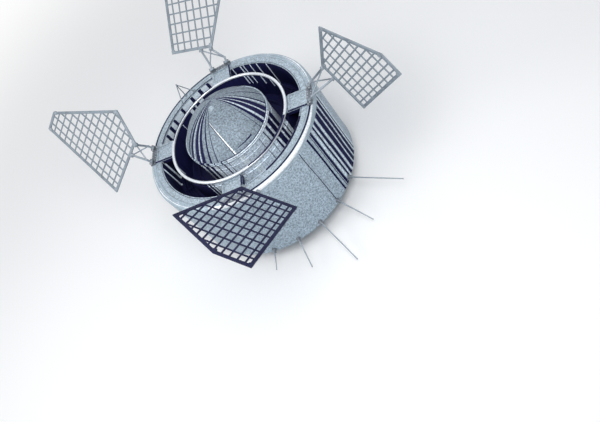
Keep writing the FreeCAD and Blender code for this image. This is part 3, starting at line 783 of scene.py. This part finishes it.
DRUM_SIDES = 300
DRUM_START = 0.6                 # so that every panel joint falls on a corner of the drum
FOOT_BAND = 0.030                # height of the band round the drum's foot
SCREW_PITCH = 0.099              # between the screws of a panel joint
JOINT_SCREWS = 19                # one above the other, on either side of a joint
EDGE_SCREWS = 120                # round each edge of the drum
BETWEEN_FANS = sum(WHIP_FANS) / 2
DRUM_JOINTS = [middle + step * WHIP_SPACING for middle in WHIP_FANS for step in (-3, -1, 1, 3)]
DRUM_JOINTS += [BETWEEN_FANS, BETWEEN_FANS + 180]


def near_joint(point):
    """True where a point of the drum lies on a panel joint."""
    angle = math.degrees(math.atan2(point.y, point.x))
    return any(abs((angle - joint + 180) % 360 - 180) < 0.1 for joint in DRUM_JOINTS)


def make_drum_wall():
    """The drum's side, with a groove along each panel joint."""
    wall = ring([(DRUM_INSIDE, REAR_Z)]
                + near(DRUM_R, REAR_Z, (0.004, 0), (0.006, 0.002), (0.006, FOOT_BAND - 0.002),
                       (0.004, FOOT_BAND), (0, FOOT_BAND), (0, FOOT_BAND + 0.004))
                + [(DRUM_R, SKIN_TOP - 0.006), (DRUM_R - 0.006, SKIN_TOP),
                   (DRUM_INSIDE, SKIN_TOP)], DRUM_SIDES, DRUM_START)
    edit(wall)
    pick_edges(wall, lambda a, b: abs(a.z - b.z) > 1.0 and a.xy.length > DRUM_R - 0.001
               and near_joint(a) and near_joint(b))
    bpy.ops.mesh.bevel(offset=0.0035, segments=1, affect="EDGES")
    bpy.ops.mesh.extrude_region_shrink_fatten(TRANSFORM_OT_shrink_fatten={"value": -0.006})
    leave_edit()
    finished("drum_wall", wall, DRUM_SILVER, ("drum_skin",))


def make_drum_screws():
    """Screws on both sides of each panel joint and round both edges."""
    places = []
    for joint in DRUM_JOINTS:
        for step in range(JOINT_SCREWS):
            for side in (-0.75, 0.75):
                height = REAR_Z + 0.09 + step * SCREW_PITCH
                places.append(on_wall(DRUM_R, joint + side, height))
    for step in range(EDGE_SCREWS):
        for height in (SKIN_TOP - 0.035, REAR_Z + 0.060):
            places.append(on_wall(DRUM_R, (step + 0.5) * 360 / EDGE_SCREWS, height))
    make_screws("drum_screws", places)


def make_rim():
    """The rounded front edge, with a seam at its foot and a groove beside the cover."""
    bend_r = DRUM_R - RIM_ROUNDING
    bend_z = FRONT_Z - RIM_ROUNDING
    profile = [(DRUM_INSIDE, SKIN_TOP + 0.002)]
    profile += near(DRUM_R, SKIN_TOP, (-0.001, 0.002), (0, 0.004), (0, 0.024),
                    (-0.002, 0.027), (-0.002, 0.030), (0, 0.033))
    profile += arc(bend_r, bend_z, RIM_ROUNDING, 0, 90, 14)
    profile += near(RIM_GROOVE_R, FRONT_Z, (0.005, 0), (0.004, -0.008), (-0.004, -0.008),
                    (-0.005, 0))
    profile += near(COVER_R, FRONT_Z, (0.010, 0), (0.004, -0.003), (0.002, -0.010),
                    (0.002, -SKIN))
    profile += arc(bend_r, bend_z, RIM_ROUNDING - SKIN, 90, 0, 8)
    finished("bright_rim", ring(profile, DRUM_SIDES, DRUM_START), RIM_SILVER,
             ("rim_ring",))


# ---- front cover and bridges ----

BRIDGE_TURNS = [around(paddle.around) for paddle in PADDLES]
COVER_SCREWS = 90
CAP_SCREWS = 7                   # along each long side of a bridge's cap
CAP_SCREW_PITCH = 0.062


def make_cover():
    """The ring-shaped front cover, with a groove and a rolled edge round its opening."""
    under = FRONT_Z - COVER_THICKNESS
    profile = [(COVER_R - 0.002, under)]
    profile += near(COVER_R, FRONT_Z, (-0.002, -0.006), (-0.006, -0.001), (-0.010, 0))
    profile += near(OPENING_R, FRONT_Z, (0.034, 0), (0.033, -0.006), (0.021, -0.006),
                    (0.020, 0), (0.016, 0), (0.013, 0.003))
    profile += arc(OPENING_R + 0.007, FRONT_Z + 0.001, 0.006, 60, 180, 5)
    profile += [(OPENING_R, FRONT_Z - 0.006), (OPENING_R, under)]
    finished("cover_ring", ring(profile), GROOVED_SILVER, ("front_cover",))
    make_screws("cover_screws", all_round(COVER_SCREWS, 2, at(COVER_R - 0.022, 0, FRONT_Z)))


def make_bridges():
    """The bridges across the slots: a web, a flange under each side and two ribs between."""
    inner = SHROUD_R - 0.010
    length = OPENING_R + 0.020 - inner
    middle = inner + length / 2
    web = bar((length, BRIDGE_WIDTH, 0.014), at(middle, 0, FRONT_Z - 0.0085))
    below = [bar((length - 0.05, thick, tall), at(middle, side * y, FRONT_Z - drop), 0.002)
             for y, thick, tall, drop in ((BRIDGE_WIDTH / 2 - 0.004, 0.007, 0.090, 0.055),
                                          (0.080, 0.008, 0.052, 0.040)) for side in (-1, 1)]
    finished("bridge_webs", copies(web, BRIDGE_TURNS), COVER_SILVER, ("bridges",))
    # The flanges and ribs under the bridges are dark: painted shade.
    finished("bridge_flanges", copies(joined(below), BRIDGE_TURNS), PAINTED_SHADE_DARK)


def make_bridge_caps():
    """The plates on the bridges, each with a sunk field, screws and a cable channel."""
    inner = LIP_R + 0.008
    length = BRACKET_INNER - 0.004 - inner
    middle = inner + length / 2
    cap = bar((length, BRIDGE_WIDTH, 0.010), at(middle, 0, FRONT_Z + 0.005), 0.003, 3)
    edit(cap)
    pick_faces(cap, lambda middle, normal: normal.z > 0.9 and middle.z > FRONT_Z + 0.009)
    inset((0.056, 0.0), (0.004, -0.003))
    leave_edit()
    finished("bridge_caps", copies(cap, BRIDGE_TURNS), COVER_SILVER, ("bridge_plates",))
    edge = BRIDGE_WIDTH / 2 - 0.040
    places = [turn @ at(inner + 0.030 + step * CAP_SCREW_PITCH, y, FRONT_Z + 0.010)
              for turn in BRIDGE_TURNS for step in range(CAP_SCREWS) for y in (-edge, edge)]
    make_screws("bridge_screws", places)
    # The channel is near black: painted shade along the bridge's edge.
    channels = []
    for turn, side in zip(BRIDGE_TURNS, CHANNEL_SIDES):
        spot = at(middle, side * (BRIDGE_WIDTH / 2 - 0.015), FRONT_Z + 0.014)
        channels.append(bar((length, 0.032, 0.024), turn @ spot, 0.007, 3))
    finished("cable_channels", joined(channels), PAINTED_SHADE_DARK)


# ---- slots and shroud ----

# Angles in degrees; each of them is used again half a turn on.
SLOT_RIBS = (4.2, 12.0, 54.7, 64.0, 70.0, 75.6, 78.4, 85.1)
SLOT_TEETH = (108.0, 116.2, 124.4, 136.0, 146.4, 152.8, 160.2)
SHROUD_RIBS = (22.5, 40.2, 51.8, 62.5, 67.5, 71.2, 120.5, 133.8, 150.0)
RIB_DEPTH = 0.016
RIB_WIDTH = 0.014
TOOTH = (0.020, 0.060, 0.300)    # a bracket's depth, width and height
# Each pipe's distance from the axis, its middle's height over the deck and its half thickness.
PIPES = ((1.535, 0.030, 0.014), (1.600, 0.030, 0.014), (1.665, 0.030, 0.014),
         (1.230, 0.034, 0.020))
PIPE_CLIPS = 24


def on_both_sides(part, angles):
    """Copies of a part at each angle and half a turn on."""
    return copies(part, [around(angle + half) for half in (0, 180) for angle in angles])


def make_ribs(name, radius, low, height, angles):
    """Light ribs that stand on a dark wall, near white so that they read as painted highlight
    streaks.
    """
    rib = bar((RIB_DEPTH, RIB_WIDTH, height), at(radius, 0, low + height / 2), 0.005, 3)
    finished(name, on_both_sides(rib, angles), STREAK_METAL)


def make_slot_wall():
    """The slots' outer wall, with ribs and brackets that narrow downwards."""
    top = FRONT_Z - COVER_THICKNESS
    profile = [(LINER_R, DECK_Z), (LINER_R, top)]
    profile += near(OPENING_R, top, (0.002, 0), (0.002, -0.050), (0, -0.053))
    profile += near(OPENING_R, DECK_Z, (0, 0.030), (-0.022, 0.004), (-0.022, 0))
    # The wall is painted shade with painted highlight streaks.
    finished("slot_wall", ring(profile), SLOT_SHADE, ("slot_liner",))
    make_ribs("slot_ribs", OPENING_R - 0.006, DECK_Z + 0.01, top - DECK_Z - 0.05, SLOT_RIBS)
    tooth = bar(TOOTH, at(OPENING_R - 0.008, 0, top - 0.170), 0.004)
    edit(tooth)
    pick_faces(tooth, lambda middle, normal: normal.z < -0.9)
    bpy.ops.transform.resize(value=(0.8, 0.35, 1), center_override=(OPENING_R, 0, top - 0.32))
    leave_edit()
    # The brackets are dark: painted shade.
    finished("slot_brackets", on_both_sides(tooth, SLOT_TEETH), PAINTED_SHADE_DARK)


def make_shroud():
    """The tube round the container: its wall, its lining, its rolled lip and a bead."""
    top = FRONT_Z + LIP_RADIUS * 0.6
    outer = [(SHROUD_MIDDLE, DECK_Z)]
    outer += near(SHROUD_R, DECK_Z, (0.018, 0), (0.018, 0.004), (0, 0.024))
    outer += [(SHROUD_R, top), (SHROUD_MIDDLE, top)]
    finished("shroud_wall", ring(outer), SHROUD_SILVER, ("shroud_tube",))
    apart = SHROUD_MIDDLE - 0.0005
    lining = [(apart, DECK_Z), (apart, top), (SHROUD_INSIDE, top)]
    lining += near(SHROUD_INSIDE, DECK_Z, (0, 0.024), (-0.018, 0.004), (-0.018, 0))
    # The lining is painted shade with short painted highlight streaks.
    finished("shroud_lining", ring(lining), LINING_SHADE, ("shroud_tube",))
    lip = turned(arc(SHROUD_MIDDLE, FRONT_Z + LIP_RADIUS, LIP_RADIUS, 0, 360, 24))
    finished("shroud_lip_ring", lip, LIP_POLISH, ("shroud_lip",))
    bead = turned(arc(SHROUD_R + 0.002, FRONT_Z - 0.115, 0.009, -90, 270, 12))
    finished("shroud_bead", bead, SHROUD_SILVER)
    make_ribs("shroud_ribs", SHROUD_INSIDE - 0.004, FRONT_Z - LINING_LIGHT_DEPTH,
              LINING_LIGHT_DEPTH - 0.020, SHROUD_RIBS)


def make_deck_fittings():
    """Ring pipes along the deck and the clips that hold them."""
    pipes = [turned(arc(radius, DECK_Z + up, half, -90, 270, 10), 180)
             for radius, up, half in PIPES]
    # The pipes and their clips are dark: painted shade, as the deck.
    finished("deck_pipes", joined(pipes), PAINTED_SHADE_DARK)
    clip = bar((0.200, 0.030, 0.052), at(1.600, 0, DECK_Z + 0.024), 0.006)
    finished("pipe_clips", copies(clip, all_round(PIPE_CLIPS, 7.5)), PAINTED_SHADE_DARK)


# ---- instrument container ----

BAND_Z = FRONT_Z - 0.160         # the foot of the band round the container
COLLAR_BOLTS = 48
DOME_STEPS = 32
DOME_SEAMS = (3, 25)             # the steps that a seam lies in, counted from the foot


def make_container():
    """The container's wall with a raised band, and its grooved collar with bolts."""
    inner = CONTAINER_R - CONTAINER_WALL
    wall = [(inner, CONTAINER_LOW), (CONTAINER_R, CONTAINER_LOW), (CONTAINER_R, DECK_Z)]
    wall += near(CONTAINER_R, BAND_Z, (0, 0), (0.005, 0.003), (0.005, 0.027), (0, 0.030))
    wall += [(CONTAINER_R, COLLAR_LOW), (inner, COLLAR_LOW)]
    finished("container_skin", ring(wall), CONTAINER_SILVER, ("container_wall",))
    collar = [(inner, COLLAR_LOW)]
    collar += near(COLLAR_R, COLLAR_LOW, (-0.004, 0), (0, 0.004), (0, 0.026), (-0.008, 0.032),
                   (-0.008, 0.046), (0, 0.052))
    collar += near(COLLAR_R, COLLAR_TOP, (0, -0.006), (-0.006, 0))
    collar += [(inner, COLLAR_TOP)]
    finished("container_collar_ring", ring(collar), COLLAR_SILVER,
             ("container_collar",))
    places = all_round(COLLAR_BOLTS, 0, at(CONTAINER_R + 0.013, 0, COLLAR_TOP))
    finished("collar_bolts", copies(hex_bolt(0.005, 0.006), places), COLLAR_SILVER)


def dome_section():
    """Points of the dome's section, one arc from its foot up to its top."""
    radius = CONTAINER_R - 0.001
    height = DOME_TOP - COLLAR_TOP
    bend = (radius * radius + height * height) / (2 * height)
    centre = height - bend
    first = math.degrees(math.atan2(-centre, radius))
    points = arc(0, COLLAR_TOP + centre, bend, first, 90, DOME_STEPS)
    return points[:-1] + [(0, COLLAR_TOP + height)]


def make_dome():
    """The dome's shell with two seams round it, and the small cap on its top."""
    section = dome_section()
    dome = turned(section)
    edit(dome)
    for seam in DOME_SEAMS:
        low, high = section[seam][1], section[seam + 1][1]
        pick_faces(dome, lambda middle, normal: low < middle.z < high)
        inset((0.008, 0.0), (0.003, -0.005))
    leave_edit()
    solidify = dome.modifiers.new("wall", "SOLIDIFY")
    solidify.thickness = DOME_SHEET
    solidify.offset = -1
    select_only(dome)
    bpy.ops.object.modifier_apply(modifier="wall")
    finished("dome_shell", dome, DOME_SILVER, ("container_dome",))
    cap = near(0, DOME_TOP, (0.075, -0.006), (0.075, -0.003), (0.070, -0.001),
               (0.030, -0.0002), (0, 0))
    finished("dome_cap", turned(cap, 48), COVER_SILVER)


# ---- paddles ----

OVER = Matrix.Rotation(math.pi, 4, "X")        # turns a part's top down
FRAME_SCREW_PITCH = 0.16
GUSSET_R = 0.046
GUSSET_HALF = 0.019              # half a gusset plate's thickness
GUSSET_INWARD = 0.072            # from the frame's corner to the gusset's middle


def on_paddle(name, piece, paddle, finish, stands_for=""):
    """Finish a piece and put it on its paddle; the shaded paddles have one dark finish, painted
    shade.
    """
    finished(name + paddle.name, piece, SHADED_PADDLE_METAL if paddle.name in SHADED_PADDLES else finish,
             (stands_for + paddle.name,) if stands_for else (), "paddle_" + paddle.name)


def edges(paddle):
    """Each edge of the outline: its start, its end and the way outwards from it."""
    corners = paddle_outline(paddle)
    for start, end in zip(corners, corners[1:] + corners[:1]):
        way = (end - start).normalized()
        yield start, end, Vector((way.y, -way.x, 0))


def cut_to(paddle, inwards):
    """In edit mode: cut a mesh to the outline, moved inwards, and close the cuts."""
    for start, end, outwards in edges(paddle):
        bpy.ops.mesh.select_all(action="SELECT")
        bpy.ops.mesh.bisect(plane_co=start - outwards * inwards, plane_no=outwards,
                            use_fill=True, clear_outer=True)


def make_paddle_frame(paddle):
    """The frame along the outline: a sheet cut to it, hollowed out and given its thickness."""
    middle = ((paddle.length - paddle.point_back) / 2, paddle.width / 2, -FRAME_THICKNESS / 2)
    span = paddle.length + paddle.point_back
    piece = primitive(bpy.ops.mesh.primitive_plane_add, (span, paddle.width, 1), size=1,
                      location=middle)
    edit(piece)
    cut_to(paddle, 0.0)
    pick_faces(piece, lambda middle, normal: True)
    bpy.ops.mesh.inset(thickness=FRAME_BAR, depth=0, use_even_offset=True)
    bpy.ops.mesh.delete(type="FACE")
    bpy.ops.mesh.select_all(action="SELECT")
    bpy.ops.mesh.extrude_region_move(TRANSFORM_OT_translate={"value": (0, 0, FRAME_THICKNESS)})
    tidy_mesh()
    pick_edges(piece, lambda a, b: True)
    bpy.ops.mesh.bevel(offset=0.005, segments=3, affect="EDGES")
    leave_edit(tidy=True)
    on_paddle("paddle_edge_", moved(piece, paddle_place(paddle)), paddle, PADDLE_EDGE,
              "paddle_frame_")


def grid_lines(paddle):
    """Where the crossed bars lie: the places of the long ones and of the cross ones."""
    step_x = paddle.length / paddle.columns
    step_y = paddle.width / paddle.rows
    first = -math.ceil(paddle.point_back / step_x)
    along = [number * step_x for number in range(first, paddle.columns)]
    across = [number * step_y for number in range(1, paddle.rows)]
    return along, across


def make_paddle_grid(paddle):
    """The lattice of crossed bars, cut off inside the frame."""
    along, across = grid_lines(paddle)
    long_bar = bar((GRID_BAR, paddle.width, GRID_THICKNESS), at(0, paddle.width / 2, 0), 0.005)
    span = paddle.length + paddle.point_back
    cross_bar = bar((span, GRID_BAR, GRID_THICKNESS - 0.003),
                    at(span / 2 - paddle.point_back, 0, 0), 0.005)
    grid = joined([copies(long_bar, [at(x, 0, 0) for x in along]),
                   copies(cross_bar, [at(0, y, 0) for y in across])])
    edit(grid)
    cut_to(paddle, FRAME_BAR * 0.6)
    leave_edit()
    on_paddle("paddle_lattice_", moved(grid, paddle_place(paddle)), paddle, PADDLE_METAL,
              "paddle_grid_")


def both_faces(points, thickness):
    """Places on the upper and the under face of a paddle, over and under each point."""
    rise = Vector((0, 0, thickness / 2))
    for point in points:
        yield at(*point + rise)
        yield at(*point - rise) @ OVER


def make_paddle_studs(paddle):
    """A stud where the bars cross, on both faces, and screws along the frame."""
    along, across = grid_lines(paddle)
    crossings = [Vector((x, y, 0)) for x in along for y in across]
    crossings = [point for point in crossings
                 if min((start - point).dot(outwards) for start, end, outwards in edges(paddle))
                 > FRAME_BAR + 0.02]
    screws = []
    for start, end, outwards in edges(paddle):
        count = int((end - start).length / FRAME_SCREW_PITCH)
        screws += [start.lerp(end, (step + 0.5) / count) - outwards * (FRAME_BAR / 2)
                   for step in range(count)]
    spots = [*both_faces(crossings, GRID_THICKNESS), *both_faces(screws, FRAME_THICKNESS)]
    place = paddle_place(paddle)
    on_paddle("paddle_studs_", copies(screw_head(*PADDLE_STUD), [place @ spot for spot in spots]),
              paddle, SCREW_METAL)


def make_paddle_corners(paddle):
    """A round gusset plate on both faces at each corner of the frame."""
    corners = paddle_outline(paddle)
    middle = sum(corners, Vector()) / len(corners)
    plate = turned([(GUSSET_R - 0.004, -GUSSET_HALF), (GUSSET_R, 0.002 - GUSSET_HALF),
                    (GUSSET_R, GUSSET_HALF - 0.002), (GUSSET_R - 0.004, GUSSET_HALF)], 24)
    edit(plate)
    for level in (-GUSSET_HALF, GUSSET_HALF):
        close_ring(plate, level)
        inset((0.012, 0.0), (0.003, -0.003))
    leave_edit(tidy=True)
    inwards = [(middle - corner).normalized() * GUSSET_INWARD for corner in corners]
    places = [paddle_place(paddle) @ at(*corner + inward)
              for corner, inward in zip(corners, inwards)]
    on_paddle("paddle_gussets_", copies(plate, places), paddle, ARM_METAL)


# ---- arms and hinges ----

def make_arm(paddle):
    """The arm's tubes and clips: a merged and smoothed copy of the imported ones."""
    node = "arm_" + paddle.name
    arm = added("arm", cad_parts[node].data.copy())
    edit(arm)
    bpy.ops.mesh.remove_doubles(threshold=0.00002)
    leave_edit()
    finished("arm_tubes_" + paddle.name, arm, ARM_METAL, (node,),
             "paddle_" + paddle.name, 40.0)


def make_hinge_fittings(paddle):
    """Nuts on the pins' ends and bolts through the bracket's plate."""
    side = polar(1, paddle.around + 90, 0)
    middle = polar(HINGE_RADIUS, paddle.around, HINGE_Z)
    places = [pointing(middle + side * root + side * (way * LUG_REACH), side * way)
              for root in (-ROOT_HALF, ROOT_HALF) for way in (-1, 1)]
    nut = turned([(0.024, -0.001), (0.024, 0.006), (0.021, 0.009), (0.012, 0.009),
                  (0.010, 0.013), (0, 0.013)], 6)
    nuts = copies(nut, places)
    spots = [(out, y) for y in (-0.235, -0.105, -0.04, 0.04, 0.105, 0.235)
             for out in ((0.020,) if abs(y) > 0.2 else (0.020, 0.100))]
    places = [around(paddle.around) @ at(BRACKET_INNER + out, y, FRONT_Z + 0.014)
              for out, y in spots]
    bolts = copies(hex_bolt(0.009, 0.010), places)
    finished("hinge_nuts_" + paddle.name, joined([nuts, bolts]), PIN_STEEL)


# ---- aerials ----

def make_whips():
    """Two fans of rods, each one screwed into its socket on the drum."""
    places = []
    for middle in WHIP_FANS:
        for whip in WHIPS:
            degrees = middle + whip.step * WHIP_SPACING
            lean = math.radians(whip.lean)
            way = polar(math.cos(lean), degrees, -math.sin(lean))
            places.append(pointing(polar(DRUM_R, degrees, WHIP_Z), way))
    socket = turned([(0.058, -0.030), (0.058, 0.010), (0.054, 0.014), (0.040, 0.016),
                     (0.036, 0.022), (0.036, 0.050), (0.032, 0.053), (0.032, 0.058),
                     (0.036, 0.061), (0.036, 0.080), (0.030, 0.088), (0.018, 0.090),
                     (0, 0.090)], 24)
    finished("aerial_sockets", copies(socket, places), FITTING_METAL,
             ("whip_sockets",), smooth=40.0)
    rods = []
    for place, whip in zip(places, WHIPS * len(WHIP_FANS)):
        tip = SOCKET_LENGTH + whip.length
        profile = near(0, SOCKET_LENGTH, (0.018, -0.004), (0.018, 0.050), (0.0145, 0.060))
        profile += [(0.0110, tip - 0.030)] + arc(0, tip - 0.0145, 0.0145, -50, 70, 5)
        rod = turned(profile + [(0, tip)], 16)
        edit(rod)
        close_ring(rod, SOCKET_LENGTH - 0.004)
        leave_edit(tidy=True)
        rods.append(moved(rod, place))
    finished("aerial_whips", joined(rods), WHIP_METAL, ("whip_aerials",),
             smooth=40.0)


def make_tripod():
    """Three rods on their pads that meet in a knob above the cover's edge."""
    front = polar(1, TRIPOD_ANGLE, 0)
    side = polar(1, TRIPOD_ANGLE + 90, 0)
    middle = front * TRIPOD_INNER + Vector((0, 0, FRONT_Z))
    apex = middle + front * (TRIPOD_REACH / 2) + Vector((0, 0, TRIPOD_HEIGHT))
    parts = []
    for foot in (middle - side * TRIPOD_HALF_SPREAD, middle + side * TRIPOD_HALF_SPREAD,
                 middle + front * TRIPOD_REACH):
        way = apex - foot
        leg = turned([(0.019, 0.004), (0.019, 0.050), (0.013, 0.060),
                      (0.010, way.length - 0.02), (0.010, way.length - 0.004)], 16)
        parts.append(moved(leg, pointing(foot, way)))
        pad = turned([(0.030, -0.001), (0.030, 0.008), (0.026, 0.012), (0.020, 0.013),
                      (0.017, 0.020), (0, 0.020)], 24)
        parts.append(moved(pad, at(*foot)))
    knob = turned([(0.006, -0.020)] + arc(0, 0, 0.020, -70, 70, 8) + [(0, 0.020)], 24)
    parts.append(moved(knob, at(*apex)))
    finished("tripod_legs", joined(parts), WHIP_METAL, ("tripod_aerial",),
             smooth=40.0)


# ---- rear and adapter ----

ADAPTER_BAYS = 24                # between one gusset and the next, with a bolt in each
ADAPTER_HEIGHT = 0.420
REAR_RIBS = 12
HATCHES = 4
HATCH_PLACE_R = 1.600


def make_adapter():
    """Gussets between the adapter's flanges, and bolts up through the upper one."""
    gusset = bar((0.080, 0.012, ADAPTER_HEIGHT - 0.060),
                 at(ADAPTER_R + 0.042, 0, ADAPTER_HEIGHT / 2))
    finished("adapter_gussets", copies(gusset, all_round(ADAPTER_BAYS, 180 / ADAPTER_BAYS)),
             ADAPTER_METAL)
    places = all_round(ADAPTER_BAYS, 0, at(ADAPTER_R + 0.060, 0, ADAPTER_HEIGHT - 0.030) @ OVER)
    finished("adapter_top_bolts", copies(hex_bolt(0.014, 0.014), places), SCREW_METAL)


def make_rear():
    """Access hatches and rib caps under the rear cover."""
    hatch = turned([(0.150, 0.001), (0.150, -0.006), (0.146, -0.009), (0.120, -0.009),
                    (0.116, -0.005), (0.060, -0.005), (0.056, -0.012), (0, -0.012)], 48)
    places = all_round(HATCHES, 45, at(HATCH_PLACE_R, 0, REAR_Z))
    finished("rear_hatches", copies(hatch, places), COVER_SILVER)
    cap = bar((0.640, 0.060, 0.008), at(1.640, 0, RIB_LOW + 0.004))
    places = all_round(REAR_RIBS, 180 / REAR_RIBS)
    finished("rear_rib_caps", copies(cap, places), COVER_SILVER)


# ---- camera, light and floor ----

LIT_MIDDLE = Vector((0, 0, 1.6))
FLOOR_SIZE = 160
PAPER_UNTIL = 5.0                # how far out the floor stays paper
WHITE_FROM = 22.0                # and from where it is white


def make_camera():
    camera = added("camera", bpy.data.cameras.new("camera"))
    camera.data.sensor_width = 36.0
    camera.data.lens = 40.54
    camera.data.clip_end = 200.0
    camera.location = (5.612, -10.1244, 11.7604)
    camera.rotation_euler = [math.radians(turn) for turn in (33.074, 27.399, -5.628)]
    bpy.context.scene.camera = camera


def area_light(name, place, size, watts):
    """A round light that looks at the middle of the satellite."""
    lamp = added(name, bpy.data.lights.new(name, "AREA"))
    lamp.data.shape = "DISK"
    lamp.data.size = size
    lamp.data.energy = watts
    lamp.location = place
    lamp.rotation_euler = (LIT_MIDDLE - Vector(place)).to_track_quat("-Z", "Y").to_euler()


def make_world():
    """Soft light all round; white where the camera or a reflection looks past the floor."""
    world = bpy.data.worlds.new("studio")
    bpy.context.scene.world = world
    world.use_nodes = True
    nodes = Nodes(world.node_tree)
    soft = world.node_tree.nodes["Background"]
    nodes.feed(soft.inputs["Color"], (0.92, 0.95, 1.0, 1))
    nodes.feed(soft.inputs["Strength"], 0.55)
    rays = nodes.node("LightPath").outputs
    mirrored = nodes.math("MAXIMUM", rays["Is Glossy Ray"], rays["Is Transmission Ray"])
    nodes.show("World Output", nodes.math("MAXIMUM", rays["Is Camera Ray"], mirrored), soft,
               nodes.node("Background", {"Color": WHITE}))


def make_floor():
    """Pale paper that keeps the shadows and turns white far out, as the camera sees it."""
    floor = primitive(bpy.ops.mesh.primitive_plane_add, size=FLOOR_SIZE)
    floor.name = "floor"
    paper = Finish("floor_paper", 0.0, 0.95)
    camera_ray = paper.node("LightPath").outputs["Is Camera Ray"]
    paper.give("Base Color", paper.mix(camera_ray, (0.80, 0.81, 0.82, 1), (0.92, 0.92, 0.92, 1)))
    reach = paper.node("VectorMath", {0: paper.place}, operation="LENGTH").outputs["Value"]
    far = paper.spread(reach, PAPER_UNTIL, WHITE_FROM, 0.0, 1.0,
                       interpolation_type="SMOOTHSTEP")
    paper.show("Material Output", paper.both(far, camera_ray), paper.shader,
               paper.node("Emission", {"Color": WHITE}))
    coat(floor, paper.material)


make_camera()
area_light("key", (4.6, -6.6, 12.5), 7.0, 940)
area_light("fill", (-8.5, -5.5, 11.5), 7.0, 640)
area_light("back", (3.0, 11.0, 8.0), 6.0, 120)
make_world()
make_floor()
bpy.context.scene.view_settings.view_transform = "Standard"

make_drum_wall()
make_drum_screws()
make_rim()
make_cover()
make_bridges()
make_bridge_caps()
make_slot_wall()
make_shroud()
make_deck_fittings()
make_container()
make_dome()
for each in PADDLES:
    make_paddle_frame(each)
    make_paddle_grid(each)
    make_paddle_studs(each)
    make_paddle_corners(each)
    make_arm(each)
    make_hinge_fittings(each)
    coat(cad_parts["hinge_bracket_" + each.name], FITTING_METAL)
    coat(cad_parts["hinge_pins_" + each.name], PIN_STEEL)
make_whips()
make_tripod()
make_adapter()
make_rear()
# The deck and the hidden instrument block are dark: painted shade.
for node, node_finish in (("deck", PAINTED_SHADE_DARK), ("rear_cover", COVER_SILVER),
                          ("rear_ribs", COVER_SILVER), ("adapter_ring", ADAPTER_METAL),
                          ("instrument_block", PAINTED_SHADE_DARK)):
    coat(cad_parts[node], node_finish)

deselect()
